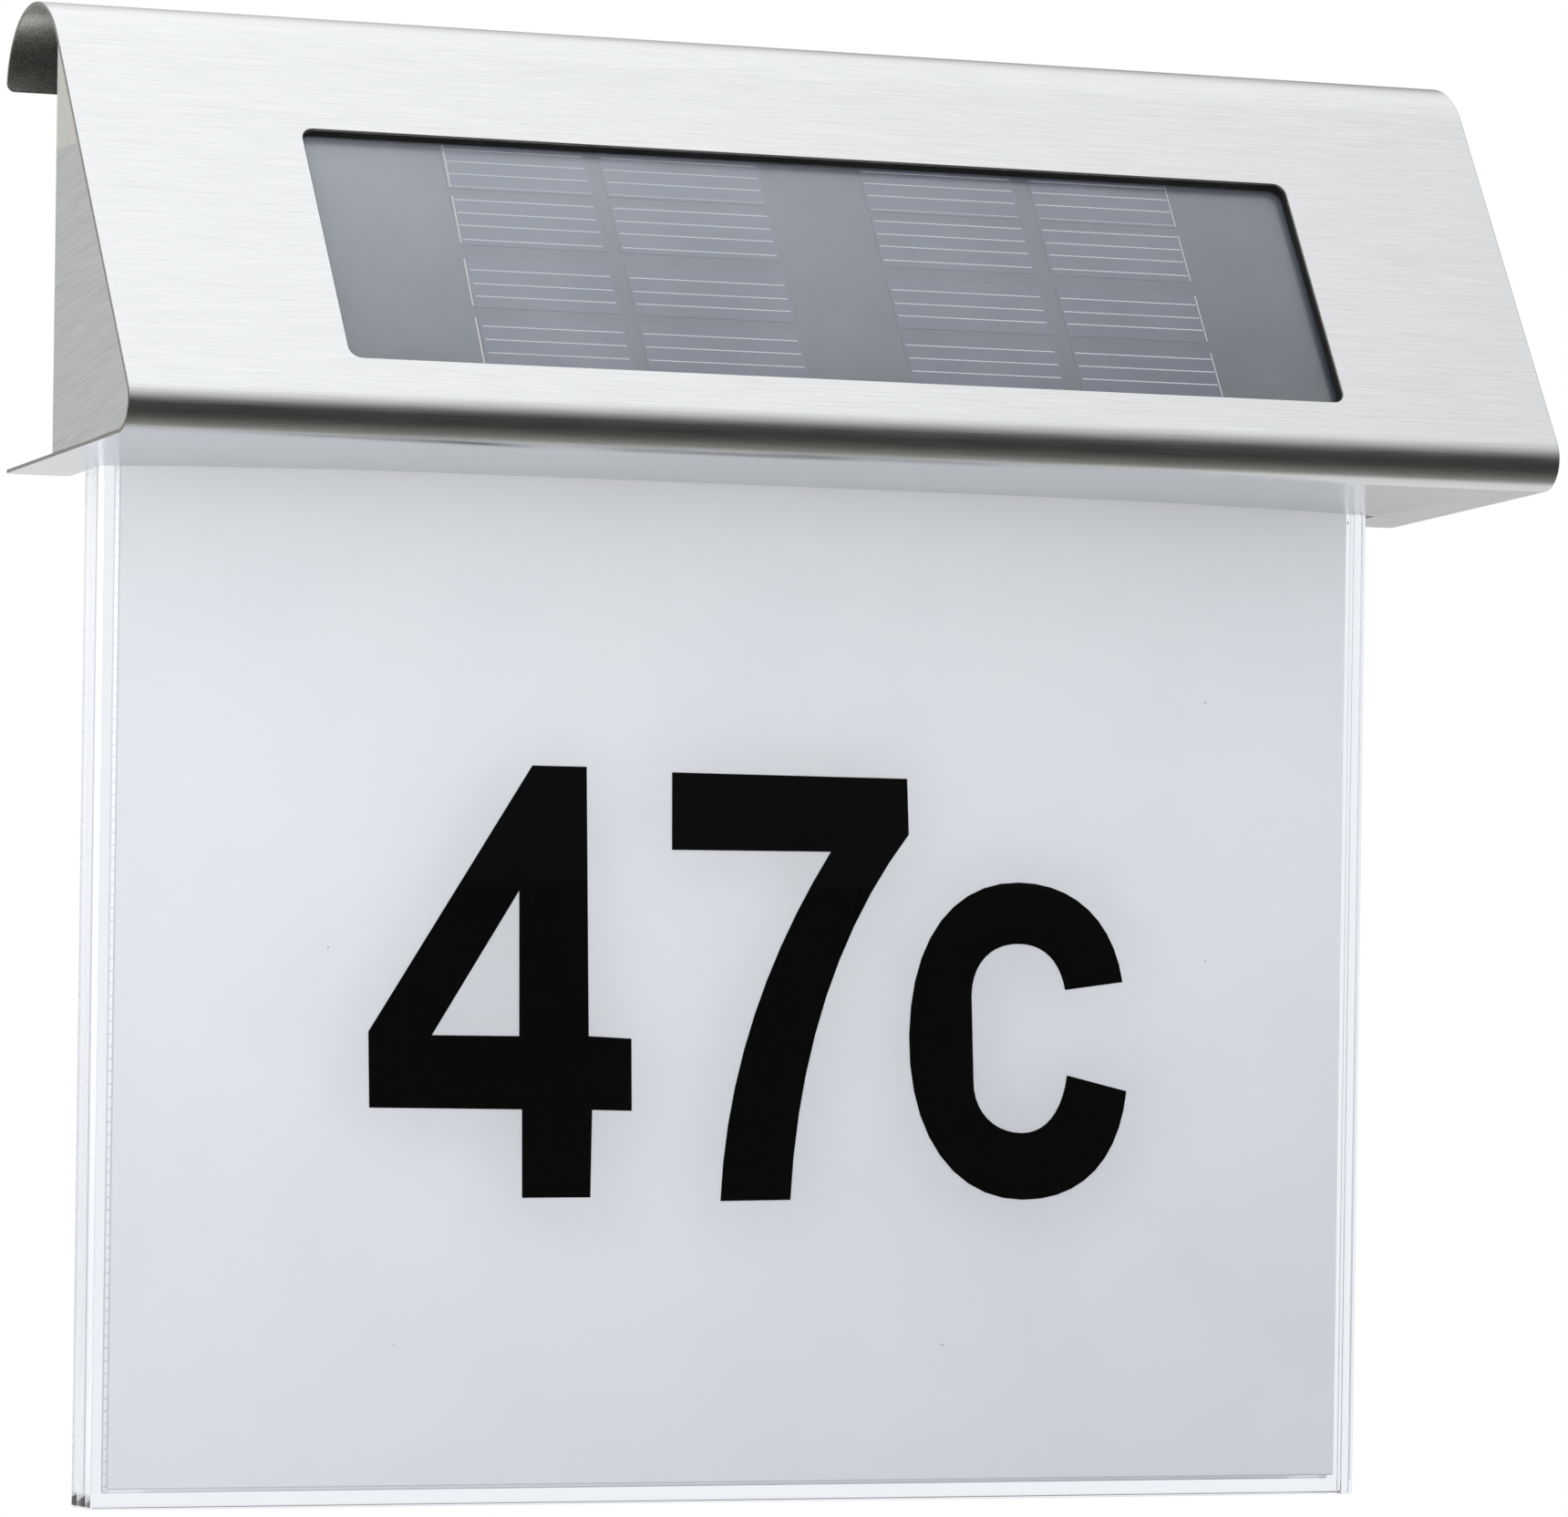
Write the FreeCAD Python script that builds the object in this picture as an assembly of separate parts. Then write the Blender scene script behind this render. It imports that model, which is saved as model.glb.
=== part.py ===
import FreeCAD, Part
import math
import os

# Solar house number light: a folded stainless steel hood with a solar window in its
# sloping front, a black moulded housing inside it, and an edge-lit panel hanging below.
# Millimetres. The wall is the plane Y = 0 and the object stands out to -Y.
# X = 0 is the middle, and Z = 0 runs through the entries of the two wall keyholes.

Vector = FreeCAD.Vector

# hood
hood_width = 225.0
sheet = 0.5                   # stainless sheet
crown_height = 30.0           # top of the hood above the keyhole entries
crown_radius = 11.75          # outer radius of the rolled top edge
slope_angle = 31.7            # front slope, from the vertical
slope_length = 59.6           # flat part of the front slope
fold_radius = 4.6             # outer radius of the bottom fold
flange_fall = 3.9             # bottom flange falls towards the wall, degrees
flange_wall_gap = 1.4         # flange ears stop short of the wall
corner_radius = 1.2           # sheet corners
end_bevel = 0.2               # deburred sheet ends
cheek_rear = 21.6             # rear edge of the end cheeks, from the wall
cheek_gap = 0.08              # seam between cheek and hood
lug_width = 8.0               # folded lugs of the cheeks
lug_length = 15.0
upper_lug = 24.0              # start of the upper lug, down the slope
lower_lug = 8.0               # start of the lower lug, behind the fold

# solar window
window_width = 156.8
window_start = 14.2           # distance down the slope
window_foot = 5.8             # slope left below the window
window_radius = 1.8
seal_thickness = 1.2
seal_overlap = 2.2            # seal and solar laminate reach past the window
pocket_gap = 0.2
cover_thickness = 0.6
cell_thickness = 0.2
board_thickness = 1.2
cell_width = 49.8
cell_gap = 0.75               # between the cells of a string
cell_rows = 4
cell_spacing = 66.3           # between the middles of the two strings
cell_shift = 1.25
cell_edge = 0.2               # first cell below the laminate's upper edge
cell_foot = 1.6               # laminate left below the last cell's gap
cell_strings = (-1, 1)

# studs welded to the hood, and the nuts that hold the housing on them
stud_inset = 7.8              # inside the housing's side walls
stud_head = 20.0              # upper studs, down the slope
stud_rise = 12.6              # lower studs above the slope's end
stud_radius = 1.5
stud_length = 8.0
stud_foot_radius = 2.3
stud_foot = 0.4
nut_flats = 5.5
nut_height = 2.4
flange_radius = 3.5
nut_flange = 0.6

# moulded housing
end_space = 10.7              # between the housing and each end of the hood
notch_gap = 0.8               # hood flange cut-out round the housing
wall = 2.0
pocket_floor = 1.5
pocket_rim = 1.4
housing_drop = 14.1           # housing top below the top of the hood
housing_lift = 0.85           # housing bottom above the fold's inner face
chin_rise = 1.6               # where the slope wall turns under, above the slope's end
chin_depth = 46.0             # front of the housing's flat bottom, from the wall
housing_round = 1.2
back_thickness = 2.5
gasket_thickness = 0.8
lip_depth = 1.5
lip_gap = 0.2
boss_radius = 3.2
boss_length = 18.0
web = 1.2                     # ribs and webs
boss_inset = 2.8              # inside the housing's side walls
boss_top = 5.4                # upper bosses below the housing top
boss_bottom = 17.5            # lower bosses above the housing bottom
screw_radius = 1.4
pilot_gap = 0.05
hole_gap = 0.3
head_radius = 2.6
head_height = 1.3

# keyholes
keyhole_x = 70.0
keyhole_radius = 4.0
keyhole_slot = 2.1            # half width of the slot
keyhole_rise = 6.3
cup_depth = 5.0
cup_wall = 1.2
cup_room = 6.8                # inner half width of the cup behind each keyhole
head_room = 4.2               # room for a wall screw's head above the slot

# panel
panel_inset = 0.2             # panel edges inside the housing's sides
panel_front = 13.4            # front face, from the wall
panel_bottom = 214.5          # below the top of the hood
front_plate = 2.4
guide_plate = 3.6
rear_plate = 2.4
film = 0.3
film_border = 2.4
film_bottom = 2.9
shoulder_drop = 0.3           # panel shoulders below the housing
tongue_inset = 7.3            # inside the housing's side walls
tongue_height = 10.0          # above the housing bottom
tongue_gap = 0.3
pad_height = 5.6
seat_thickness = 2.0
seat_height = 9.0             # above the housing bottom
panel_screw_x = 62.0
pad_reach = 26.0              # pad past each screw
panel_screw_length = 19.0

# lights over the panel
led_board_width = 7.0
led_board_thickness = 1.2
led_gap = 0.2
led_length = 3.5
led_width = 2.8
led_height = 1.0
led_count = 6
led_inset = 13.0              # outer lamps inside the ledges
ledge_length = 6.8
ledge_width = 8.0
ledge_groove = 2.0            # the lamp board's ends slide into grooves this deep
ledge_cap = 1.2

# battery compartment, behind a door in the back
battery_middle = -25.5
battery_radius = 7.1
battery_body = 49.2
nub_radius = 2.75
nub_length = 1.2
compartment_length = 57.0
compartment_room = 0.8        # above and below the battery
compartment_wall = 1.4
battery_gap = 0.5
contact = 0.4
leaf = 0.35
leaf_width = 6.0
saddle_places = (-14.0, 14.0)
saddle_width = 1.6
saddle_gap = 0.05
door_thickness = 1.3
door_recess = 1.4
door_length = 73.0
door_reach = 2.1              # door past the compartment, above and below
door_gap = 0.2
door_round = 2.0
door_screw_x = 33.0
door_screw_length = 7.0
door_head_height = 0.7
door_boss_radius = 2.8
door_boss_length = 8.0

# control board and slide switch
control_left = 14.0
control_right = 60.0
control_drop = 5.9            # board's upper edge below the housing top
control_rise = 3.5            # board's lower edge above the lamp board
control_post = 4.9
control_thickness = 1.2
control_post_x = (23.0, 56.5)
control_post_inset = 3.5      # posts inside the board's lower and upper edges
post_radius = 2.6
pin_radius = 1.2              # heat-formed pins through the board
pin_proud = 0.6
switch_x = 37.0
switch_rise = 5.0             # above the board's lower edge
switch_length = 9.0
switch_height = 4.4
switch_depth = 3.6
contact_width = 3.0           # contact tabs on the board
knob_length = 3.0
knob_height = 2.4
knob_travel = 3.0
knob_gap = 0.3
knob_setback = 0.35           # knob tip short of the wall
foot_sink = 0.8               # knob's foot in the switch
groove = 0.3                  # grip grooves of the knob
finger_length = 14.0
finger_height = 7.0
finger_depth = 1.2
link_pins = (28.0, 31.0)
link_size = 0.6
link_reach = 2.0              # pins up the control board
coil_x = 24.0
coil_drop = 9.0               # below the board's upper edge
coil_radius = 3.2
coil_flange_radius = 4.0
coil_flange = 1.0
coil_height = 5.0
chip_x = 35.0
chip_drop = 8.0
chip_length = 5.0
chip_height = 4.0
chip_depth = 1.4
chip_lift = 0.2
chip_feet = 4
foot_pitch = 1.27
foot_width = 0.4
foot_reach = 1.0
foot_depth = 0.6
can_x = 53.5
can_drop = 13.0
can_radius = 2.5
can_length = 6.5
lead_places = (44.0, 47.0)
lead_radius = 0.6
lead_rise = 5.0               # leads above the laminate's middle
lead_first_run = 9.0
bend_share = 0.45             # of the shorter run, taken up by the bend

# values that follow from the sizes above
half = hood_width / 2
lean = math.radians(slope_angle)
fall = math.radians(flange_fall)
crown_center = Vector(0, -crown_radius, crown_height - crown_radius)
down = Vector(0, -math.sin(lean), -math.cos(lean))
inward = Vector(0, math.cos(lean), -math.sin(lean))
back = Vector(0, math.cos(fall), -math.sin(fall))
under = Vector(0, -math.sin(fall), -math.cos(fall))
slope_top = crown_center - inward * crown_radius
slope_end = slope_top + down * slope_length
fold_center = slope_end + inward * fold_radius
flange_start = fold_center + under * fold_radius
slope_turn = FreeCAD.Rotation(Vector(1, 0, 0), down, inward, "XYZ")

window_end = slope_length - window_foot
cover_depth = sheet + seal_thickness
cell_depth = cover_depth + cover_thickness
board_depth = cell_depth + cell_thickness
floor_depth = board_depth + board_thickness
laminate_half = window_width / 2 + seal_overlap
laminate_start = window_start - seal_overlap
laminate_end = window_end + seal_overlap
cell_pitch = (laminate_end - laminate_start - cell_edge - cell_foot) / cell_rows
cell_height = cell_pitch - cell_gap
chin_place = slope_length - chin_rise
stud_places = (stud_head, slope_length - stud_rise)
lead_start = (laminate_start + laminate_end) / 2 - lead_rise

housing_half = half - end_space
notch_half = housing_half + notch_gap
notch_front = panel_front + 1.0
housing_top = crown_height - housing_drop
housing_bottom = flange_start.z + sheet + housing_lift
rim = back_thickness + gasket_thickness
inner_half = housing_half - wall
boss_x = inner_half - boss_inset
stud_x = inner_half - stud_inset

panel_half = housing_half - panel_inset
tongue_half = inner_half - tongue_inset
panel_depth = front_plate + guide_plate + rear_plate
panel_back = panel_front - panel_depth
panel_base = crown_height - panel_bottom
shoulder = housing_bottom - shoulder_drop
tongue_peak = housing_bottom + tongue_height
panel_screw_z = housing_bottom + wall + pocket_gap + pad_height / 2
guide_front = panel_front - front_plate
guide_middle = guide_front - guide_plate / 2
ledge_inner = inner_half - ledge_length
led_base = tongue_peak + led_gap
led_board_base = led_base + led_height
led_board_half = ledge_inner + ledge_groove - pocket_gap

led_board_top = led_board_base + led_board_thickness
battery_z = (led_board_top + housing_top - wall) / 2
compartment_height = 2 * (battery_radius + compartment_room)
battery_y = door_recess + battery_gap + battery_radius
compartment_depth = battery_y + battery_radius + battery_gap
compartment_left = battery_middle - compartment_length / 2
compartment_right = battery_middle + compartment_length / 2
compartment_top = battery_z + compartment_height / 2
compartment_base = battery_z - compartment_height / 2
body_left = compartment_left + contact + nub_length
body_right = body_left + battery_body
door_z = battery_z
door_height = compartment_height + 2 * door_reach

board_back = back_thickness + control_post
board_front = board_back + control_thickness
control_top = housing_top - control_drop
control_bottom = led_board_top + control_rise
switch_z = control_bottom + switch_rise
switch_face = board_back - switch_depth


def block(x0, x1, y0, y1, z0, z1):
    return Part.makeBox(x1 - x0, y1 - y0, z1 - z0, Vector(x0, y0, z0))


def rod_y(x, z, radius, y0, y1):
    """A round bar along Y."""
    return Part.makeCylinder(radius, y1 - y0, Vector(x, y0, z), Vector(0, 1, 0))


def joined(shapes):
    whole = shapes[0]
    for shape in shapes[1:]:
        whole = whole.fuse(shape)
    return whole.removeSplitter()


def without(shape, tools):
    for tool in tools:
        shape = shape.cut(tool)
    return shape


def slope_block(x0, x1, s0, s1, n0, n1, radius=0.0):
    """A block in the slope's own axes: across, down the slope, and inward from its face."""
    shape = Part.makeBox(x1 - x0, s1 - s0, n1 - n0, Vector(x0, s0, n0))
    if radius:
        corners = [edge for edge in shape.Edges if along(edge, Vector(0, 0, 1))]
        shape = shape.makeFillet(radius, corners)
    shape.Placement = FreeCAD.Placement(slope_top, slope_turn)
    return shape


def slope_rod(x, s, radius, n0, n1):
    shape = Part.makeCylinder(radius, n1 - n0, Vector(x, s, n0), Vector(0, 0, 1))
    shape.Placement = FreeCAD.Placement(slope_top, slope_turn)
    return shape


def slope_point(s, n):
    return slope_top + down * s + inward * n


def slope_at_height(z, n):
    """Depth of the slope's layer n at height z."""
    start = slope_point(0, n)
    return start.y + (z - start.z) * math.tan(lean)


def along(edge, direction):
    """True where a straight edge runs along a direction."""
    if not isinstance(edge.Curve, Part.Line):
        return False
    return abs(abs(edge.tangentAt(edge.FirstParameter).dot(direction)) - 1) < 1e-6


def rounded_block(x0, x1, y0, y1, z0, z1, radius):
    """A block whose four edges along Y are rounded."""
    shape = block(x0, x1, y0, y1, z0, z1)
    corners = [edge for edge in shape.Edges if along(edge, Vector(0, 1, 0))]
    return shape.makeFillet(radius, corners)


def side_face(points):
    return Part.Face(Part.makePolygon(points + points[:1]))


def arc(center, radius, start, end):
    """An arc about an X axis, between two outward directions."""
    middle = start + end
    middle.normalize()
    return Part.Arc(center + start * radius, center + middle * radius, center + end * radius).toShape()


def hood_line(depth):
    """The hood's side outline at a depth below its outer face, from hook to flange."""
    wall_side = Vector(0, 1, 0)
    run = (-flange_wall_gap - flange_start.y) / back.y
    crown = arc(crown_center, crown_radius - depth, wall_side, Vector(0, 0, 1))
    brow = arc(crown_center, crown_radius - depth, Vector(0, 0, 1), inward * -1)
    slope = Part.makeLine(slope_point(0, depth), slope_point(slope_length, depth))
    fold = arc(fold_center, fold_radius - depth, inward * -1, under)
    flange_face = flange_start - under * depth
    flange = Part.makeLine(flange_face, flange_face + back * run)
    return [crown, brow, slope, fold, flange]


def hood_sheet():
    """One folded sheet: hook, rolled crown, slope with window, fold and flange."""
    outer = hood_line(0)
    inner = hood_line(sheet)
    hook_end = Part.makeLine(outer[0].Vertexes[0].Point, inner[0].Vertexes[0].Point)
    flange_end = Part.makeLine(outer[-1].Vertexes[-1].Point, inner[-1].Vertexes[-1].Point)
    profile = Part.Face(Part.Wire(Part.__sortEdges__(outer + inner + [hook_end, flange_end])))
    profile.translate(Vector(-half, 0, 0))
    shape = profile.extrude(Vector(hood_width, 0, 0))
    window = slope_block(-window_width / 2, window_width / 2, window_start, window_end,
                         -wall, wall, window_radius)
    notch = block(-notch_half, notch_half, -notch_front, wall, flange_start.z - 2 * wall,
                  flange_start.z + wall)
    shape = without(shape, [window, notch])
    corners = [edge for edge in shape.Edges if is_sheet_corner(edge)]
    shape = shape.makeFillet(corner_radius, corners)
    shape = shape.makeChamfer(end_bevel, [edge for edge in shape.Edges if is_outer_end(edge)])
    return joined([shape] + [weld_stud(x, s) for x, s in stud_spots()])


def is_sheet_corner(edge):
    """Edges through the sheet at the hook's and the flange ears' corners."""
    if edge.Length > 2 * sheet:
        return False
    middle = edge.CenterOfMass
    near_wall = middle.y > -flange_wall_gap - sheet
    in_notch = abs(middle.y + notch_front) < sheet and abs(middle.x) < half - sheet
    return near_wall or in_notch


def is_outer_end(edge):
    """Edges of the outer face at the two ends of the slope, the fold and the flange."""
    middle = edge.CenterOfMass
    if abs(abs(middle.x) - half) > 0.01 or edge.Length < 4 * sheet:
        return False
    on_slope = abs((middle - slope_top).dot(inward)) < 0.01
    on_flange = abs((middle - flange_start).dot(under)) < 0.01
    on_fold = abs((edge.valueAt(edge.FirstParameter) - fold_center).Length - fold_radius) < 0.01
    return on_slope or on_flange or (on_fold and edge.Length < 3 * fold_radius)


def end_cheek(side):
    """A flat cheek inside the hood's end, with two lugs folded in for spot welds."""
    depth = sheet + cheek_gap
    top = Vector(0, -cheek_rear, slope_at_y(-cheek_rear, depth))
    slope = Part.makeLine(top, slope_point(slope_length, depth))
    fold = arc(fold_center, fold_radius - depth, inward * -1, under)
    flange_face = flange_start - under * depth
    run = (-cheek_rear - flange_face.y) / back.y
    flange = Part.makeLine(flange_face, flange_face + back * run)
    rear = Part.makeLine(flange_face + back * run, top)
    shape = Part.Face(Part.Wire([slope, fold, flange, rear])).extrude(Vector(sheet, 0, 0))
    upper = slope_block(0, lug_width, upper_lug, upper_lug + lug_length, sheet, depth + sheet)
    lower = Part.makeBox(lug_width, lug_length, sheet + cheek_gap, Vector(0, 0, 0))
    lower.rotate(Vector(0, 0, 0), Vector(1, 0, 0), -flange_fall)
    lower.translate(flange_start - under * sheet + back * lower_lug)
    shape = joined([shape, upper, lower])
    shape.translate(Vector(-half + end_bevel, 0, 0))
    if side > 0:
        shape = shape.mirror(Vector(0, 0, 0), Vector(1, 0, 0))
    return shape


def slope_at_y(y, n):
    """Height of the slope's layer n at depth y."""
    start = slope_point(0, n)
    return start.z + (y - start.y) / math.tan(lean)


def stud_spots():
    return [(x, s) for x in (-stud_x, stud_x) for s in stud_places]


def weld_stud(x, s):
    """A stud with its weld flange, standing on the inner face of the slope."""
    foot = slope_rod(x, s, stud_foot_radius, sheet, sheet + stud_foot)
    return foot.fuse(slope_rod(x, s, stud_radius, sheet, sheet + stud_length))


def stud_nut(x, s):
    """A hexagon nut with a flange."""
    reach = nut_flats / math.sqrt(3)
    low = sheet + wall
    ring = [Vector(x + reach * math.cos(k * math.pi / 3), s + reach * math.sin(k * math.pi / 3), low)
            for k in range(6)]
    nut = side_face(ring).extrude(Vector(0, 0, nut_flange + nut_height))
    nut.Placement = FreeCAD.Placement(slope_top, slope_turn)
    nut = nut.fuse(slope_rod(x, s, flange_radius, low, low + nut_flange))
    return nut.cut(slope_rod(x, s, stud_radius + pilot_gap, 0, low + 2 * nut_height))


def window_seal():
    outer = slope_block(-laminate_half, laminate_half, laminate_start, laminate_end,
                        sheet, cover_depth, window_radius)
    inner = slope_block(-window_width / 2, window_width / 2, window_start, window_end,
                        -wall, floor_depth, window_radius)
    return outer.cut(inner)


def laminate_layer(depth, thickness):
    return slope_block(-laminate_half, laminate_half, laminate_start, laminate_end,
                       depth, depth + thickness, window_radius)


def solar_cell(side, row):
    """One cell of the two strings that stand side by side in the laminate."""
    middle = cell_shift + side * cell_spacing / 2
    top = laminate_start + cell_edge + row * cell_pitch
    return slope_block(middle - cell_width / 2, middle + cell_width / 2, top, top + cell_height,
                       cell_depth, cell_depth + cell_thickness)


def housing_outline(rear):
    """The housing's side outline, from the back round the slope to the bottom."""
    return [Vector(0, rear, housing_top),
            Vector(0, slope_at_height(housing_top, sheet), housing_top),
            slope_point(chin_place, sheet),
            Vector(0, -chin_depth, housing_bottom),
            Vector(0, rear, housing_bottom)]


def front_screw_spots():
    """Screws that pull the back against the front housing."""
    heights = (housing_top - boss_top, housing_bottom + boss_bottom)
    return [(x, z) for x in (-boss_x, boss_x) for z in heights]


def panel_screw_spots():
    return [(-panel_screw_x, panel_screw_z), (panel_screw_x, panel_screw_z)]


def front_housing():
    """The black moulding behind the slope: tray for the solar laminate, seat for the panel."""
    shell = side_face(housing_outline(-rim)).extrude(Vector(2 * housing_half, 0, 0))
    shell.translate(Vector(-housing_half, 0, 0))
    ends = [edge for edge in shell.Edges
            if abs(abs(edge.CenterOfMass.x) - housing_half) < 0.01 and edge.CenterOfMass.y < -rim - 1]
    shell = shell.makeFillet(housing_round, ends)
    outline = Part.makePolygon(housing_outline(wall - rim) + housing_outline(wall - rim)[:1])
    room = Part.Face(outline.makeOffset2D(-wall, 2)).extrude(Vector(2 * inner_half, 0, 0))
    room.translate(Vector(-inner_half, 0, 0))
    shell = shell.cut(room)
    tray_half = laminate_half + pocket_gap
    tray = slope_block(-tray_half - pocket_rim, tray_half + pocket_rim,
                       laminate_start - pocket_gap - pocket_rim, laminate_end + pocket_gap + pocket_rim,
                       sheet + wall / 2, floor_depth + pocket_floor)
    seat = block(-tongue_half, tongue_half, -panel_front - seat_thickness, -panel_front,
                 housing_bottom + wall / 2, housing_bottom + seat_height)
    adds = [tray, seat] + lamp_ledges() + boss_ribs()
    for x, z in front_screw_spots():
        adds.append(rod_y(x, z, boss_radius, -back_thickness - boss_length, -back_thickness))
    for x, z in panel_screw_spots():
        adds.append(rod_y(x, z, boss_radius, -panel_front - boss_length / 2, -panel_front))
    shell = joined([shell] + adds)
    cuts = [slope_block(-tray_half, tray_half, laminate_start - pocket_gap, laminate_end + pocket_gap,
                        0, floor_depth, window_radius)]
    for x, s in stud_spots():
        cuts.append(slope_rod(x, s, stud_foot_radius + pocket_gap, 0, 2 * wall))
    for x, z in front_screw_spots():
        cuts.append(rod_y(x, z, screw_radius + pilot_gap, -back_thickness - boss_length + wall, 0))
    for x, z in panel_screw_spots():
        cuts.append(rod_y(x, z, screw_radius + pilot_gap, -back_thickness - panel_screw_length, 0))
    lead_room = lead_radius + hole_gap
    cuts.append(slope_block(lead_places[0] - lead_room, lead_places[-1] + lead_room,
                            lead_start - lead_room, lead_start + lead_room,
                            floor_depth - wall / 2, floor_depth + pocket_floor + wall / 2))
    cuts.append(block(-tongue_half - tongue_gap, tongue_half + tongue_gap, -panel_front,
                      -panel_back + tongue_gap, housing_bottom - wall, housing_bottom + 2 * wall))
    cuts.append(led_board_space())
    return without(shell, cuts)


def lamp_ledges():
    """Grooved ledges that carry the ends of the lamp board."""
    ledges = []
    for side in (-1, 1):
        near, far = sorted((side * ledge_inner, side * (inner_half + wall / 2)))
        ledges.append(block(near, far, -guide_middle - ledge_width / 2, -guide_middle + ledge_width / 2,
                            housing_bottom + wall / 2, led_board_top + ledge_cap))
    return ledges


def led_board_space():
    reach = led_board_half + pocket_gap
    return block(-reach, reach, -guide_middle - led_board_width / 2 - pocket_gap,
                 -guide_middle + ledge_width, led_board_base, led_board_top + pilot_gap)


def boss_ribs():
    """Thin webs that tie the bosses to the side walls and to the panel's seat."""
    webs = []
    front = -back_thickness - boss_length
    for x, z in front_screw_spots():
        near, far = sorted((x, math.copysign(inner_half + wall / 2, x)))
        webs.append(block(near, far, front, -rim - lip_depth - lip_gap, z - web / 2, z + web / 2))
    for x, z in panel_screw_spots():
        webs.append(block(x - web / 2, x + web / 2, -panel_front - boss_length / 2, -panel_front,
                          housing_bottom + wall / 2, z))
    return webs


def housing_gasket():
    """A flat rubber ring between the front housing and the back."""
    outer = block(-housing_half, housing_half, -rim, -back_thickness, housing_bottom, housing_top)
    inner = block(-inner_half, inner_half, -rim, -back_thickness, housing_bottom + wall, housing_top - wall)
    bosses = [rod_y(x, z, boss_radius + lip_gap, -rim, -back_thickness) for x, z in front_screw_spots()]
    return without(outer.cut(inner), bosses)


def control_posts():
    heights = (control_bottom + control_post_inset, control_top - control_post_inset)
    return list(zip(control_post_x, heights))


def keyhole(x):
    """Round entry with a slot that rises from it."""
    entry = rod_y(x, 0, keyhole_radius, -back_thickness, 0)
    slot = block(x - keyhole_slot, x + keyhole_slot, -back_thickness, 0, 0, keyhole_rise)
    return joined([entry, slot, rod_y(x, keyhole_rise, keyhole_slot, -back_thickness, 0)])


def housing_back():
    """The back: keyholes, battery compartment, switch opening and posts for the board."""
    plate = rounded_block(-housing_half, housing_half, -back_thickness, 0,
                          housing_bottom, housing_top, housing_round)
    lip_outer = inner_half - lip_gap
    lip = block(-lip_outer, lip_outer, -rim - lip_depth, -back_thickness,
                panel_screw_z + boss_radius, housing_top - wall - lip_gap)
    lip = lip.cut(block(-lip_outer + cup_wall, lip_outer - cup_wall, -2 * rim, 0,
                        panel_screw_z + boss_radius + cup_wall, housing_top - wall - lip_gap - cup_wall))
    lip = without(lip, [rod_y(x, z, boss_radius + hole_gap, -3 * rim, 0) for x, z in front_screw_spots()])
    board_room = led_board_half + wall / 2
    lip = lip.cut(block(-board_room, board_room, -3 * rim, 0, housing_bottom, led_board_base + 2 * wall))
    adds = [lip]
    cup_half = cup_room + cup_wall
    for x in (-keyhole_x, keyhole_x):
        adds.append(block(x - cup_half, x + cup_half, -back_thickness - cup_depth - cup_wall,
                          -back_thickness, -keyhole_radius - cup_wall, keyhole_rise + head_room + cup_wall))
    adds.append(block(compartment_left - compartment_wall, compartment_right + compartment_wall,
                      -compartment_depth - compartment_wall, -back_thickness,
                      compartment_base - compartment_wall, compartment_top + compartment_wall))
    for side in (-1, 1):
        adds.append(rod_y(battery_middle + side * door_screw_x, door_z, door_boss_radius,
                          -back_thickness - door_boss_length, -back_thickness))
    for x, z in control_posts():
        adds.append(rod_y(x, z, post_radius, -board_back, -back_thickness))
        adds.append(rod_y(x, z, pin_radius, -board_front - pin_proud, -board_back))
    shape = joined([plate] + adds)
    cuts = [keyhole(-keyhole_x), keyhole(keyhole_x)]
    for x in (-keyhole_x, keyhole_x):
        cuts.append(block(x - cup_room, x + cup_room, -back_thickness - cup_depth, -back_thickness,
                          -keyhole_radius, keyhole_rise + head_room))
    cuts.append(block(compartment_left, compartment_right, -compartment_depth, 0,
                      compartment_base, compartment_top))
    reach = door_length / 2
    cuts.append(rounded_block(battery_middle - reach, battery_middle + reach, -door_recess, 0,
                              door_z - door_height / 2, door_z + door_height / 2, door_round))
    for side in (-1, 1):
        cuts.append(rod_y(battery_middle + side * door_screw_x, door_z, screw_radius + pilot_gap,
                          -back_thickness - door_boss_length + 1, 0))
    cuts += screw_wells()
    cuts.append(switch_opening())
    cuts += contact_slots()
    return without(shape, cuts).fuse(battery_saddles()).removeSplitter()


def screw_wells():
    """Clearance holes and sunk seats for the heads of the back's screws."""
    wells = []
    for x, z in front_screw_spots() + panel_screw_spots():
        wells.append(rod_y(x, z, screw_radius + hole_gap, -back_thickness, 0))
        wells.append(rod_y(x, z, head_radius + hole_gap, -head_height - pocket_gap, 0))
    return wells


def switch_opening():
    """A shallow finger recess with the slot that the knob moves in."""
    recess = rounded_block(switch_x - finger_length / 2, switch_x + finger_length / 2, -finger_depth, 0,
                           switch_z - finger_height / 2, switch_z + finger_height / 2, finger_height / 3)
    reach = (knob_length + knob_travel) / 2 + knob_gap
    slot = block(switch_x - reach, switch_x + reach, -back_thickness, 0,
                 switch_z - knob_height / 2 - knob_gap, switch_z + knob_height / 2 + knob_gap)
    return recess.fuse(slot)


def strip_reach():
    """Span in Y of the contact strips."""
    return -battery_y - leaf_width / 2, -battery_y + leaf_width / 2


def contact_slots():
    near, far = strip_reach()
    grip = pilot_gap
    upper = block(compartment_left, compartment_left + contact + grip, near - grip, far + grip,
                  battery_z, compartment_top + 2 * compartment_wall)
    lower = block(compartment_right - contact - grip, compartment_right, near - grip, far + grip,
                  compartment_base - 2 * compartment_wall, battery_z)
    return [upper, lower]


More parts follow.
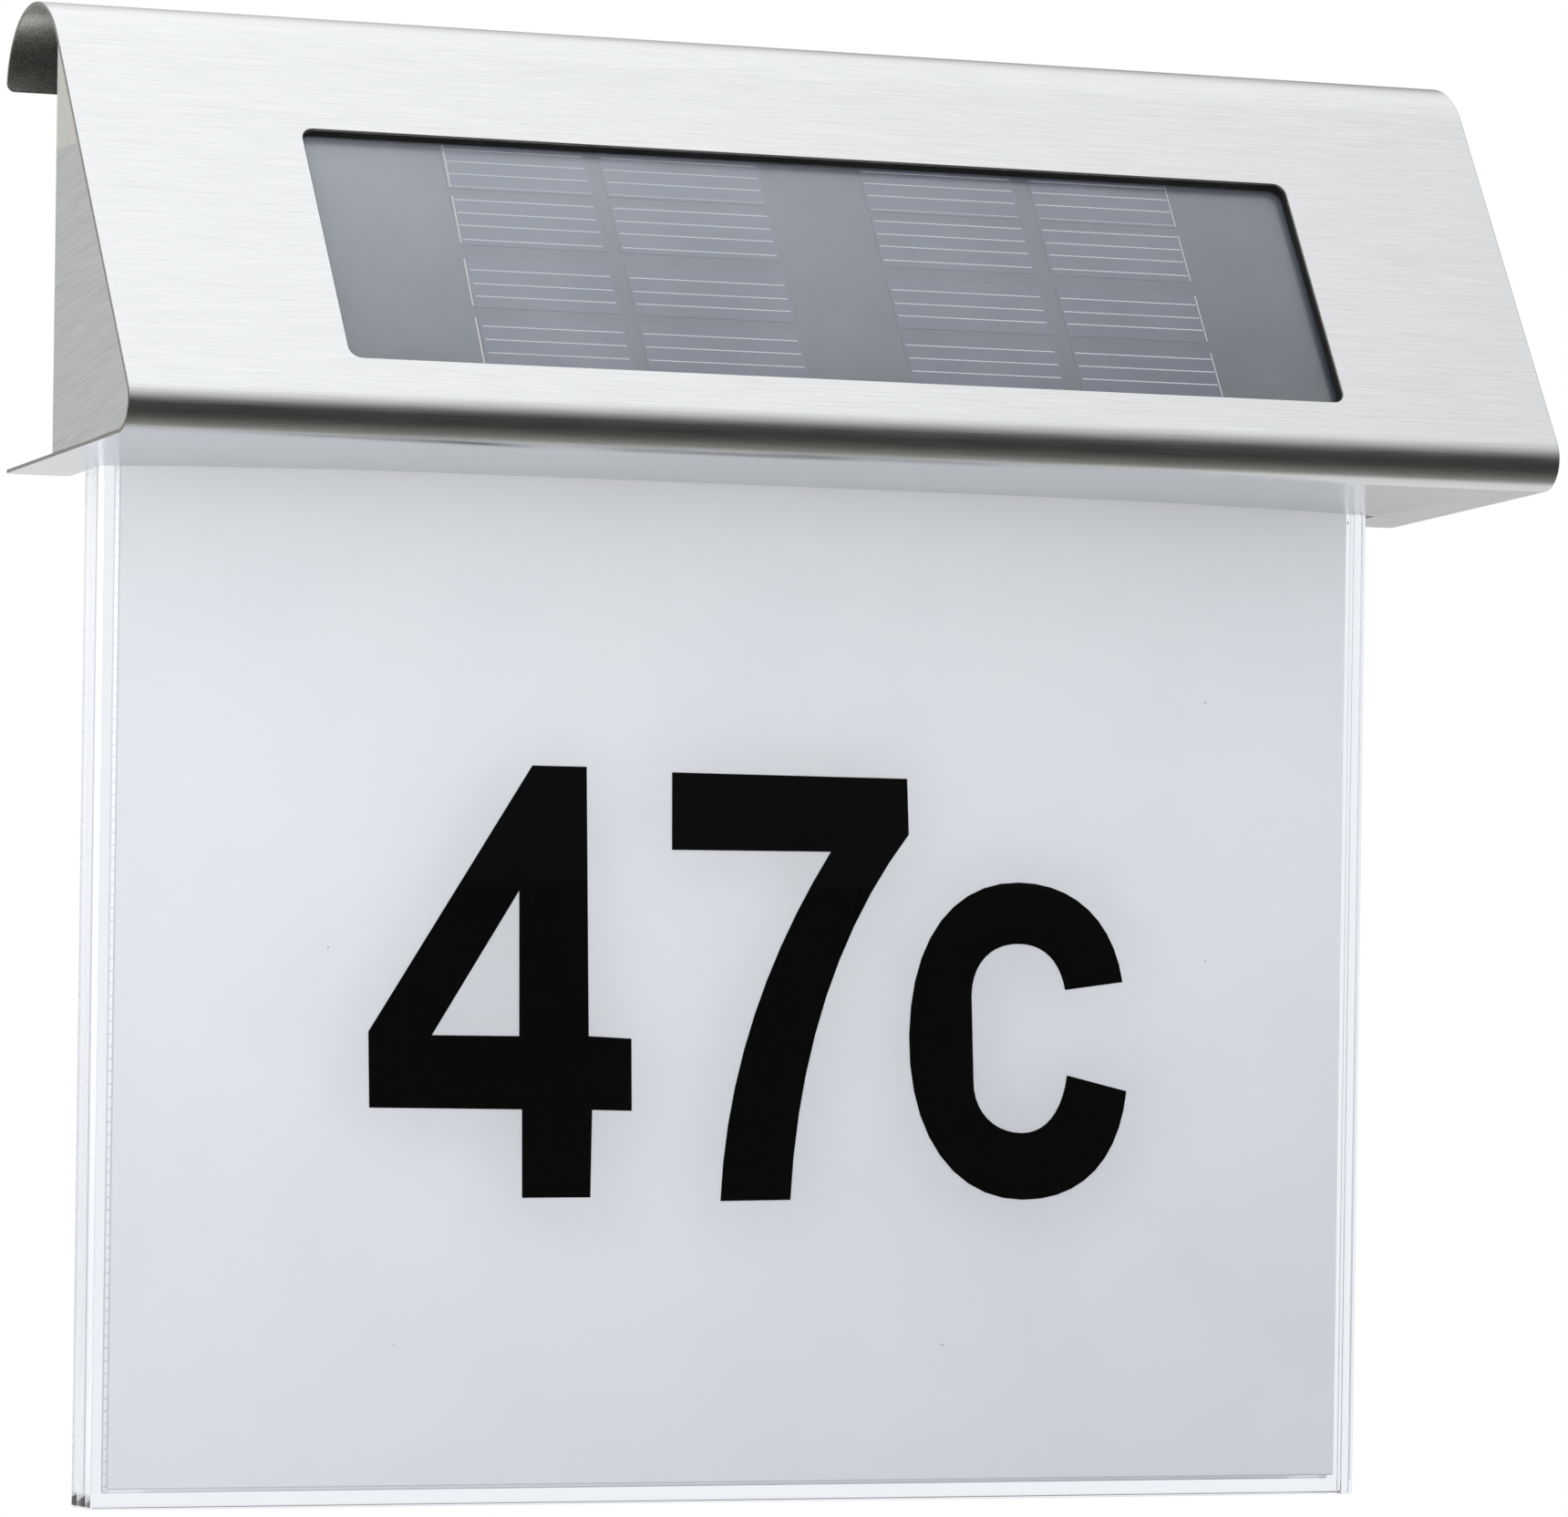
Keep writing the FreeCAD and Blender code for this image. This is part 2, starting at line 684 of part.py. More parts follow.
def battery_saddles():
    """Two curved ribs that the battery lies on."""
    saddles = []
    for place in saddle_places:
        x = battery_middle + place
        saddle = block(x - saddle_width / 2, x + saddle_width / 2, -compartment_depth,
                       -battery_y - battery_radius / 3, compartment_base, compartment_top)
        bed = Part.makeCylinder(battery_radius + saddle_gap, 2 * saddle_width,
                                Vector(x - saddle_width, -battery_y, battery_z), Vector(1, 0, 0))
        saddles.append(saddle.cut(bed))
    return joined(saddles)


def contact_positive():
    """Folded strip from the battery's nub, over the compartment, to the control board."""
    near, far = strip_reach()
    roof = compartment_top + compartment_wall
    plate = block(compartment_left, compartment_left + contact, near, far,
                  battery_z - leaf_width / 2, roof + contact)
    run = block(compartment_left, control_left - 2 * hole_gap, near, far, roof, roof + contact)
    return joined([plate, run] + board_tab(roof, roof + contact, roof - contact_width))


def contact_negative():
    """Bowed leaf spring against the battery's base, with a strip to the control board."""
    near, far = strip_reach()
    floor = compartment_base - compartment_wall
    plate = block(compartment_right - contact, compartment_right, near, far,
                  floor - contact, battery_z + leaf_width / 2)
    run = block(compartment_right - contact, control_left - 2 * hole_gap, near, far, floor - contact, floor)
    strip = [plate, run, bowed_leaf()]
    return joined(strip + board_tab(floor - contact, floor, floor + contact_width))


def board_tab(low, high, end):
    """The strip's narrow tongue in front of the board, and the tab folded against its face."""
    near = strip_reach()[0]
    left = control_left - 1
    right = control_left + contact_width + 1
    tongue = block(left, right, near, -board_front, low, high)
    tab = block(right - contact_width, right, -board_front - contact, -board_front,
                min(low, end), max(high, end))
    return [tongue, tab]


def bowed_leaf():
    """The leaf's bow, an arc of sheet that touches the battery's base."""
    span = battery_radius / 2 + 1
    foot = compartment_right - contact
    tip = body_right + pilot_gap
    bow = [Vector(foot, -battery_y, battery_z + span), Vector(tip, -battery_y, battery_z),
           Vector(foot, -battery_y, battery_z - span)]
    inner = [Vector(foot, -battery_y, battery_z + span - 2 * leaf),
             Vector(tip + leaf, -battery_y, battery_z),
             Vector(foot, -battery_y, battery_z - span + 2 * leaf)]
    edges = [Part.Arc(*bow).toShape(), Part.makeLine(bow[2], inner[2]),
             Part.Arc(*inner[::-1]).toShape(), Part.makeLine(inner[0], bow[0])]
    face = Part.Face(Part.Wire(edges))
    face.translate(Vector(0, -leaf_width / 3, 0))
    return face.extrude(Vector(0, 2 * leaf_width / 3, 0))


def battery():
    """Rechargeable round cell with its nub."""
    axis = Vector(1, 0, 0)
    start = Vector(body_left, -battery_y, battery_z)
    body = Part.makeCylinder(battery_radius, battery_body, start, axis)
    rims = [edge for edge in body.Edges if abs(edge.Length - 2 * math.pi * battery_radius) < 0.01]
    return body.makeChamfer(contact, rims).fuse(Part.makeCylinder(nub_radius, nub_length, start, axis * -1))


def battery_door():
    """Plate over the compartment, with sunk seats for its two screws and two ribs inside."""
    length = door_length - 2 * door_gap
    height = door_height - 2 * door_gap
    plate = rounded_block(battery_middle - length / 2, battery_middle + length / 2,
                          -door_recess, door_thickness - door_recess,
                          door_z - height / 2, door_z + height / 2, door_round - door_gap)
    reach = compartment_length / 2 - contact - 2 * web
    depth = -back_thickness + pocket_gap
    upper = block(battery_middle - reach, battery_middle + reach, depth, -door_recess,
                  compartment_top - web - door_gap, compartment_top - door_gap)
    lower = block(battery_middle - reach, battery_middle + reach, depth, -door_recess,
                  compartment_base + door_gap, compartment_base + web + door_gap)
    shape = joined([plate, upper, lower])
    for side in (-1, 1):
        x = battery_middle + side * door_screw_x
        shape = shape.cut(rod_y(x, door_z, screw_radius + hole_gap, -back_thickness, 0))
        shape = shape.cut(rod_y(x, door_z, head_radius + hole_gap, -door_head_height - pocket_gap, 0))
    return shape


def pan_screw(x, z, seat, length, head):
    """Screw along Y whose shank ends forward of its seat."""
    shank = rod_y(x, z, screw_radius, seat - length, seat)
    return shank.fuse(rod_y(x, z, head_radius, seat, seat + head))


def door_screw(side):
    return pan_screw(battery_middle + side * door_screw_x, door_z, -door_head_height - pocket_gap,
                     door_screw_length, door_head_height)


def back_screw(x, z):
    """Screw through the back into a boss of the front housing."""
    return pan_screw(x, z, -head_height - pocket_gap, boss_length - 2 * wall, head_height)


def panel_screw(x, z):
    """Screw through back, pad and panel into the seat."""
    return pan_screw(x, z, -head_height - pocket_gap, panel_screw_length, head_height)


def panel_outline(y0, y1):
    """One layer of the panel: the visible plate with the narrower tongue above it."""
    plate = block(-panel_half, panel_half, y0, y1, panel_base, shoulder)
    tongue = block(-tongue_half, tongue_half, y0, y1, shoulder - wall, tongue_peak)
    shape = plate.fuse(tongue).removeSplitter()
    return without(shape, [rod_y(x, z, screw_radius + hole_gap, y0, y1) for x, z in panel_screw_spots()])


def film_block(y0, gap):
    """Room for a white film in the light guide's face, or the film itself."""
    reach = panel_half - film_border + gap
    return block(-reach, reach, y0, y0 + film, panel_base + film_bottom - gap, shoulder - wall + gap)


def light_guide():
    shape = panel_outline(-guide_front, -guide_front + guide_plate)
    pocket = film_block(-guide_front, pilot_gap)
    rear_pocket = film_block(-guide_front + guide_plate - film, pilot_gap)
    return without(shape, [pocket, rear_pocket])


def panel_pad():
    """Rubber strip that presses the panel against its seat."""
    reach = panel_screw_x + pad_reach
    strip = block(-reach, reach, -panel_back, -back_thickness,
                  panel_screw_z - pad_height / 2, panel_screw_z + pad_height / 2)
    return without(strip, [rod_y(x, z, screw_radius + hole_gap, -panel_front, 0)
                           for x, z in panel_screw_spots()])


def led_board():
    return block(-led_board_half, led_board_half, -guide_middle - led_board_width / 2,
                 -guide_middle + led_board_width / 2, led_board_base, led_board_top)


def led(place):
    """White lamp that shines down into the light guide."""
    pitch = 2 * (ledge_inner - led_inset) / (led_count - 1)
    x = (place - (led_count - 1) / 2) * pitch
    return block(x - led_length / 2, x + led_length / 2,
                 -guide_middle - led_width / 2, -guide_middle + led_width / 2, led_base, led_board_base)


def control_board():
    board = block(control_left, control_right, -board_front, -board_back,
                  control_bottom, control_top)
    return without(board, [rod_y(x, z, pin_radius + pilot_gap, -board_front, -board_back)
                           for x, z in control_posts()])


def switch_body():
    """Metal-cased slide switch with an open slot for the knob's foot."""
    body = block(switch_x - switch_length / 2, switch_x + switch_length / 2,
                 -board_back, -switch_face, switch_z - switch_height / 2, switch_z + switch_height / 2)
    reach = (knob_length + knob_travel) / 2 + pocket_gap
    slot = block(switch_x - reach, switch_x + reach, -switch_face - 1, -switch_face,
                 switch_z - knob_height / 2 + pocket_gap, switch_z + knob_height / 2 - pocket_gap)
    return body.cut(slot)


def switch_knob():
    """Ribbed knob, drawn in its left end position."""
    left = switch_x - knob_travel / 2 - knob_length / 2
    low = switch_z - knob_height / 2
    stem = block(left, left + knob_length, -switch_face + pilot_gap, -knob_setback, low, low + knob_height)
    foot = block(left + 2 * pocket_gap, left + knob_length - 2 * pocket_gap,
                 -switch_face - foot_sink, -switch_face + foot_sink,
                 low + 2 * pocket_gap, low + knob_height - 2 * pocket_gap)
    grooves = []
    for place in (1, 2, 3):
        x = left + place * knob_length / 4
        grooves.append(block(x - groove / 2, x + groove / 2, -knob_setback - groove, 0,
                             low - 1, low + knob_height + 1))
    return without(stem.fuse(foot), grooves)


def inductor():
    """Ferrite bobbin coil: two flanges and the winding between them."""
    z = control_top - coil_drop
    tip = -board_front - coil_height
    foot = rod_y(coil_x, z, coil_flange_radius, -board_front - coil_flange, -board_front)
    coil = rod_y(coil_x, z, coil_radius, tip, -board_front)
    return joined([foot, coil, rod_y(coil_x, z, coil_flange_radius, tip, tip + coil_flange)])


def charge_chip():
    """Controller in a flat package with feet on both sides."""
    z = control_top - chip_drop
    face = -board_front - chip_lift
    case = block(chip_x - chip_length / 2, chip_x + chip_length / 2, face - chip_depth, face,
                 z - chip_height / 2, z + chip_height / 2)
    reach = chip_height / 2 + foot_reach
    feet = []
    for place in range(chip_feet):
        x = chip_x + (place - (chip_feet - 1) / 2) * foot_pitch
        feet.append(block(x - foot_width / 2, x + foot_width / 2, -board_front - foot_depth, -board_front,
                          z - reach, z + reach))
    return joined([case] + feet)


def capacitor():
    """Small electrolytic can."""
    return rod_y(can_x, control_top - can_drop, can_radius, -board_front - can_length, -board_front)


def link_pin(x):
    """Bent pin from the lamp board to the control board."""
    foot = control_bottom + link_reach
    post = block(x, x + link_size, -board_front - 2 * link_size, -board_front - link_size,
                 led_board_top, foot)
    toe = block(x, x + link_size, -board_front - link_size, -board_front, foot - link_size, foot)
    return joined([post, toe])


def solar_lead(x):
    """Lead from the solar laminate to the control board: two straight runs and one bend."""
    start = slope_point(lead_start, floor_depth)
    bend = start + inward * lead_first_run
    end = Vector(0, -board_front, bend.z)
    radius = bend_share * lead_first_run / math.tan(lean / 2)
    trim = radius * math.tan(lean / 2)
    before = bend - inward * trim
    after = bend + Vector(0, 1, 0) * trim
    center = before + Vector(0, inward.z, -inward.y) * -radius
    bulge = bend - center
    bulge.normalize()
    route = Part.Wire([Part.makeLine(start, before),
                       Part.Arc(before, center + bulge * radius, after).toShape(),
                       Part.makeLine(after, end)])
    ring = Part.Wire(Part.makeCircle(lead_radius, start, inward))
    tube = route.makePipeShell([ring], True, False)
    tube.translate(Vector(x, 0, 0))
    exact = math.pi * lead_radius ** 2 * route.Length
    print("lead at", x, "bend radius", round(radius, 2), "volume", round(tube.Volume / exact, 4))
    return tube


def pieces():
    """Every piece by its name."""
    parts = {
        "hood_sheet": hood_sheet(),
        "end_cheek_left": end_cheek(-1),
        "end_cheek_right": end_cheek(1),
        "window_seal": window_seal(),
        "solar_cover": laminate_layer(cover_depth, cover_thickness),
        "solar_board": laminate_layer(board_depth, board_thickness),
        "front_housing": front_housing(),
        "housing_gasket": housing_gasket(),
        "housing_back": housing_back(),
        "panel_pad": panel_pad(),
        "panel_front": panel_outline(-panel_front, -guide_front),
        "diffuser_film": film_block(-guide_front, 0),
        "light_guide": light_guide(),
        "reflector_film": film_block(-guide_front + guide_plate - film, 0),
        "panel_rear": panel_outline(-panel_back - rear_plate, -panel_back),
        "led_board": led_board(),
        "control_board": control_board(),
        "switch_body": switch_body(),
        "switch_knob": switch_knob(),
        "inductor": inductor(),
        "charge_chip": charge_chip(),
        "capacitor": capacitor(),
        "solar_lead_red": solar_lead(lead_places[0]),
        "solar_lead_black": solar_lead(lead_places[1]),
        "battery": battery(),
        "contact_positive": contact_positive(),
        "contact_negative": contact_negative(),
        "battery_door": battery_door(),
    }
    for count, (x, s) in enumerate(stud_spots(), 1):
        parts["stud_nut_" + str(count)] = stud_nut(x, s)
    for count, (x, z) in enumerate(front_screw_spots(), 1):
        parts["back_screw_" + str(count)] = back_screw(x, z)
    for count, (x, z) in enumerate(panel_screw_spots(), 1):
        parts["panel_screw_" + str(count)] = panel_screw(x, z)
    for count, side in enumerate((-1, 1), 1):
        parts["door_screw_" + str(count)] = door_screw(side)
    for count in range(led_count):
        parts["led_" + str(count + 1)] = led(count)
    for count, x in enumerate(link_pins, 1):
        parts["link_pin_" + str(count)] = link_pin(x)
    for letter, side in zip("ab", cell_strings):
        for row in range(cell_rows):
            parts["solar_cell_" + letter + str(row + 1)] = solar_cell(side, row)
    return parts


os.makedirs("parts", exist_ok=True)
for name, shape in pieces().items():
    shape.exportStep("parts/" + name + ".step")
    print(name, "solids", len(shape.Solids), "volume", round(shape.Volume, 2), "valid", shape.isValid())
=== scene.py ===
import math
import bpy
import bmesh
from functools import partial
from mathutils import Matrix, Vector


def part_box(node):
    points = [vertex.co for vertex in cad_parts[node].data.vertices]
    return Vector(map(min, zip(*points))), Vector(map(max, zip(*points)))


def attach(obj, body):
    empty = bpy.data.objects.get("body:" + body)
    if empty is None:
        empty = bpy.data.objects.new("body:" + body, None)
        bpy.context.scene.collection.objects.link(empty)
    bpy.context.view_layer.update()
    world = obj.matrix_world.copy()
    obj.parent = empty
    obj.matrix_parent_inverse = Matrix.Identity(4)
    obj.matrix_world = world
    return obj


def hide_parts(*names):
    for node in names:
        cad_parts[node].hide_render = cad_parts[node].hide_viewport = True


# Solar house number light: brushed stainless hood with a solar window, clear panel, characters "47c".
# Sizes are in millimetres until a mesh is made. The wall is at y = 0 and the front looks to -y.

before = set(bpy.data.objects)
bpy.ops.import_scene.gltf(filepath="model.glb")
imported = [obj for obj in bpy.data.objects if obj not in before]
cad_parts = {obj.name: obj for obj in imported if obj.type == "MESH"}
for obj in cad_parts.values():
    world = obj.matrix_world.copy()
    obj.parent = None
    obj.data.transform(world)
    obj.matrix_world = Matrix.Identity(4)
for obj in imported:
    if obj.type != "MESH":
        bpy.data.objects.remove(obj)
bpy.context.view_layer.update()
print("frame loaded:", len(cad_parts), "nodes")

view = dict(
    imageWidth=1720, imageHeight=1664,
    focalPixels=9297.9,          # long lens, as product pictures are taken
    middleColumn=859.2, middleRow=1109.5,
    turn=24.121, tilt=-0.171, lean=0.787,   # degrees
    place=(-505.93, -1155.61, -108.40),
    sensor=36.0, nearest=50.0,
)


def pick(settings, keys):
    return [settings[key] for key in keys.split()]


def addObject(name, data):
    thing = bpy.data.objects.new(name, data)
    bpy.context.scene.collection.objects.link(thing)
    return thing


def makeCamera():
    turn, tilt, lean = map(math.radians, pick(view, "turn tilt lean"))
    ahead = Vector((math.sin(turn) * math.cos(tilt), math.cos(turn) * math.cos(tilt), math.sin(tilt)))
    side = Vector((math.cos(turn), -math.sin(turn), 0))
    above = side.cross(ahead)
    right = side * math.cos(lean) + above * math.sin(lean)
    up = above * math.cos(lean) - side * math.sin(lean)
    data = bpy.data.cameras.new("photoCamera")
    data.sensor_fit = "HORIZONTAL"
    data.sensor_width = view["sensor"]
    wide, tall, column, row = pick(view, "imageWidth imageHeight middleColumn middleRow")
    data.lens = view["focalPixels"] / wide * view["sensor"]
    data.shift_x = (wide / 2 - column) / wide
    data.shift_y = (row - tall / 2) / wide
    data.clip_start = view["nearest"] / 1000
    camera = addObject("photoCamera", data)
    turned = Matrix((right, up, -ahead)).transposed().to_4x4()
    camera.matrix_world = Matrix.Translation(Vector(view["place"]) / 1000) @ turned
    bpy.context.scene.camera = camera


makeCamera()
bpy.context.scene.view_settings.view_transform = "Standard"
print("camera set")


def linear(hexColor):
    values = [int(hexColor[k:k + 2], 16) / 255 for k in (1, 3, 5)]
    return tuple(v / 12.92 if v <= 0.04045 else ((v + 0.055) / 1.055) ** 2.4 for v in values) + (1.0,)


def perMetre(size):
    # pattern scale for a size in millimetres, or for one along each axis
    return [1000.0 / s for s in size] if isinstance(size, tuple) else 1000.0 / size


def link(source, node, key):
    # from an output, or from the first one that a node uses, to an input
    if isinstance(source, bpy.types.Node):
        source = next(output for output in source.outputs if output.enabled)
    node.id_data.links.new(source, node.inputs[key])


def addNode(tree, kind, settings=None, links=()):
    # inputs go by name or number: a Map Range turns what lies between 1 and 2 into 3 to 4
    kind, *operation = kind.split()
    node = tree.nodes.new("ShaderNode" + kind)
    if operation:
        node.operation = operation[0]
    for key, value in (settings or {}).items():
        if isinstance(key, str) and hasattr(node, key):
            setattr(node, key, value)
        else:
            node.inputs[key].default_value = value
    for key, source in links.items() if isinstance(links, dict) else enumerate(links):
        link(source, node, key)
    return node


def emptied(owner):
    # a material or world without its first nodes
    owner.use_nodes = True
    owner.node_tree.nodes.clear()
    return partial(addNode, owner.node_tree)


sockets = dict(roughness="Roughness", metallic="Metallic", ior="IOR", clear="Transmission Weight",
               specular="Specular IOR Level", stretch="Anisotropic", stretchTurn="Anisotropic Rotation")


def newMaterial(settings):
    material = bpy.data.materials.new(settings["label"])
    material.use_nodes = True
    add = partial(addNode, material.node_tree)
    shader = material.node_tree.nodes["Principled BSDF"]
    shader.inputs["Base Color"].default_value = linear(settings["color"])
    for key, socket in sockets.items():
        if key in settings:
            shader.inputs[socket].default_value = settings[key]
    return material, add, shader, add("TexCoord").outputs["Object"]


noiseMiddle = (0.3, 0.7)         # where most of a noise's values lie


def vary(add, shader, settings, pattern, fine=None):
    # a pattern moves the colour; it, or a finer one, moves the roughness and the height
    fine = fine or pattern
    mixed = bump = None
    low, high = settings.get("darker", settings["color"]), settings.get("paler", settings["color"])
    if low != high:
        start, end = settings.get("between", noiseMiddle)
        amount = add("MapRange", {1: start, 2: end}, [pattern])
        mixed = add("Mix", {"data_type": "RGBA", 6: linear(low), 7: linear(high)}, [amount])
        link(mixed, shader, "Base Color")
    if "roughnesses" in settings:
        start, end = settings.get("roughBetween", noiseMiddle)
        smooth, rough = settings["roughnesses"]
        level = add("MapRange", {1: start, 2: end, 3: smooth, 4: rough}, [fine])
        link(level, shader, "Roughness")
    if "bump" in settings:
        strength, depth = settings["bump"]
        bump = add("Bump", {"Strength": strength, "Distance": depth / 1000}, {"Height": fine})
        link(bump, shader, "Normal")
    return mixed, bump


# stainless steel, belt-brushed along the sheet: fine lines that blur reflections across them
# real ones are too fine to show, so these are drawn coarser
brushedSteel = dict(
    label="stainless steel, belt brushed", color="#E1E3E4", darker="#D0D2D4", roughness=0.24, metallic=1.0,
    stretch=0.7, stretchTurn=0.25,           # the blur runs across the lines
    line=(11.0, 0.14, 0.14), cloud=(50.0, 3.2, 3.2), cloudShare=0.1,
    between=(0.3, 0.8), roughnesses=(0.21, 0.27), bump=(0.04, 0.01),
)


def makeBrushedSteel(settings):
    material, add, shader, place = newMaterial(settings)
    tangent = add("Tangent", {"direction_type": "UV_MAP", "uv_map": "along"})
    link(tangent, shader, "Tangent")
    lines = add("VectorMath MULTIPLY", {1: perMetre(settings["line"])}, [place])
    clouds = add("VectorMath MULTIPLY", {1: perMetre(settings["cloud"])}, [place])
    fine = add("TexNoise", {"Scale": 1.0, "Detail": 1.0}, [lines])
    broad = add("TexNoise", {"Scale": 1.0, "Detail": 2.0}, [clouds])
    both = add("Math MULTIPLY_ADD", {1: settings["cloudShare"]}, {0: broad, 2: fine})
    vary(add, shader, settings, both, fine)
    return material


# stainless steel cheek, brushed across: even grey with slightly slanting lines, paler rings near the top
cheekSteel = dict(
    label="stainless steel cheek, brushed", color="#DFE2E0", darker="#C3C7C5", roughness=0.36, metallic=1.0,
    line=(3.0, 9.0, 0.13), slant=9.0, roughnesses=(0.3, 0.42), bump=(0.12, 0.01),
    upper="#E8E4DA", upperStart=8.2, upperFade=0.2, ring=9.0, ringWave=2.0,
)


def makeCheekSteel(settings):
    material, add, shader, place = newMaterial(settings)
    turned = add("Mapping", {"Rotation": (math.radians(settings["slant"]), 0, 0)}, [place])
    lines = add("VectorMath MULTIPLY", {1: perMetre(settings["line"])}, [turned])
    fine = add("TexNoise", {"Scale": 1.0, "Detail": 3.0}, [lines])
    mixed = vary(add, shader, settings, fine)[0]
    height = add("SeparateXYZ", {}, [place]).outputs[2]
    start = settings["upperStart"] / 1000
    step = add("MapRange", {1: start, 2: start + settings["upperFade"] / 1000}, [height])
    rings = add("TexWave", {"wave_type": "RINGS", "Scale": perMetre(settings["ring"]),
                                      "Distortion": settings["ringWave"], "Detail": 2.0}, [place])
    pale = add("Mix", {"data_type": "RGBA", 6: linear(settings["color"]), 7: linear(settings["upper"])},
                   [rings])
    both = add("Mix", {"data_type": "RGBA"}, {0: step, 6: mixed, 7: pale})
    link(both, shader, "Base Color")
    return material


# cast acrylic, flame-polished: clear with a faint cool tint, and hairline marks from wiping
clearAcrylic = dict(
    label="cast acrylic, flame polished", color="#F2F5FA", roughness=0.02, ior=1.49, clear=1.0,
    mark=(0.25, 2.0, 9.0), roughnesses=(0.01, 0.03), roughBetween=(0.66, 0.85),
)


def makeClearAcrylic(settings):
    material, add, shader, place = newMaterial(settings)
    drawn = add("VectorMath MULTIPLY", {1: perMetre(settings["mark"])}, [place])
    marks = add("TexNoise", {"Scale": 1.0, "Detail": 2.0}, [drawn])
    vary(add, shader, settings, marks)
    return material


# polyester film, white coated: matt, with faint mottling, a few specks of dust, a darker edge and a painted
# glow
whiteFilm = dict(
    label="polyester film, white coated", color="#F7F8FA", darker="#F3F4F7", roughness=0.55, mottle=18.0,
    speck="#8E9195", speckPitch=9.0, speckEdge=(0.012, 0.02),
    edge=98.7, low=181.7, border=0.22, borderFade=0.8, borderDepth=0.45,
    tickPitch=1.8, tickWidth=0.9, tickFade=0.9, tickEdge=(0.8, 0.9), tickDepth=0.0,
    # painted light: how the film's glow runs from top to bottom and from left to right
    top=-34.0, bottom=-184.0, paintedLightTop=0.3, paintedLightBottom=0.12, paintedLightFall=1.4, paintedLightLeft=0.03, paintedLightRight=-0.06,
    # painted light: the band near each side where the mirror film glows
    paintedSideLight=0.0, leakStart=91.5, leakEnd=97.4, leakIn=2.0, leakOut=0.4,
)
# the film behind the guide has its printed dots, and a band of painted light beside them near each side
mirrorFilm = dict(whiteFilm, label="polyester film, mirror white", low=182.3, tickDepth=0.35, paintedSideLight=0.14)


def makeWhiteFilm(settings):
    material, add, shader, place = newMaterial(settings)
    mottle = add("TexNoise", {"Scale": perMetre(settings["mottle"]), "Detail": 4.0}, [place])
    mixed = vary(add, shader, settings, mottle)[0]
    cells = add("TexVoronoi", {"Scale": perMetre(settings["speckPitch"])}, [place])
    split = add("SeparateXYZ", {}, [place])
    x, z = split.outputs[0], split.outputs[2]
    off = add("Math ABSOLUTE", {}, [x])
    turns = add("Math MULTIPLY", {1: math.tau * perMetre(settings["tickPitch"])}, [z])
    wave = add("Math SINE", {}, [turns])
    sizes = pick(settings, "edge low border tickWidth bottom top leakStart leakIn leakEnd leakOut")
    edge, low, border, tick, bottom, top, leakStart, leakIn, leakEnd, leakOut = (s / 1000 for s in sizes)
    fade, depth = pick(settings, "borderFade borderDepth")
    # height, sideways, inner and outer shape the painted glow
    levels = dict(               # what a level follows, where it starts and ends, and its value at both
        dust=(cells, *settings["speckEdge"], 1, 0),
        side=(x, border * fade - edge, border - edge, depth, 0),
        foot=(z, border * fade - low, border - low, depth, 0),
        strip=(x, tick * settings["tickFade"] - edge, tick - edge, settings["tickDepth"], 0),
        rows=(wave, *settings["tickEdge"], 0, 1),
        height=(z, bottom, top, 0, 1),
        sideways=(x, -edge, edge, settings["paintedLightLeft"], settings["paintedLightRight"]),
        inner=(off, leakStart, leakStart + leakIn, 0, settings["paintedSideLight"]),
        outer=(off, leakEnd, leakEnd + leakOut, 1, 0),
    )
    part = {name: add("MapRange", {1: start, 2: end, 3: first, 4: last}, [source])
            for name, (source, start, end, first, last) in levels.items()}
    ticks = add("Math MULTIPLY", {}, (part["rows"], part["strip"]))
    drawn = add("Math MAXIMUM", {}, (part["side"], part["foot"]))
    marks = add("Math MAXIMUM", {}, (part["dust"], ticks))
    marks = add("Math MAXIMUM", {}, (marks, drawn))
    final = add("Mix", {"data_type": "RGBA", 7: linear(settings["speck"])}, {0: marks, 6: mixed})
    link(final, shader, "Base Color")
    # painted light: the film glows of its own, most at the top near the lamps and a little more on the left,
    # in place of light falling on it
    fall = add("Math POWER", {1: settings["paintedLightFall"]}, [part["height"]])
    downward = add("MapRange", {3: settings["paintedLightBottom"], 4: settings["paintedLightTop"]}, [fall])
    # painted light: the glow in the band near each side
    paintedSideLight = add("Math MULTIPLY", {}, (part["inner"], part["outer"]))
    level = add("Math ADD", {}, (downward, part["sideways"]))
    level = add("Math ADD", {}, (level, paintedSideLight))
    glow = add("CombineColor", {}, {k: level for k in range(3)})
    link(glow, shader, "Emission Color")
    shader.inputs["Emission Strength"].default_value = 1.0
    return material


# ABS, moulded in a spark-eroded tool: fine even grain and softened edges
mouldedAbs = dict(
    label="ABS, moulded, spark grain", color="#1B1B1C", paler="#262627", roughness=0.5, ior=1.53,
    grain=0.35, flow=40.0, between=(0.35, 0.65), roughnesses=(0.42, 0.6), bump=(0.35, 0.05), edge=0.25,
)


def makeMouldedAbs(settings):
    material, add, shader, place = newMaterial(settings)
    grain = add("TexNoise", {"Scale": perMetre(settings["grain"]), "Detail": 3.0}, [place])
    flow = add("TexNoise", {"Scale": perMetre(settings["flow"]), "Detail": 2.0}, [place])
    bump = vary(add, shader, settings, flow, grain)[1]
    edge = add("Bevel", {"samples": 4, "Radius": settings["edge"] / 1000})
    link(edge, bump, "Normal")
    return material
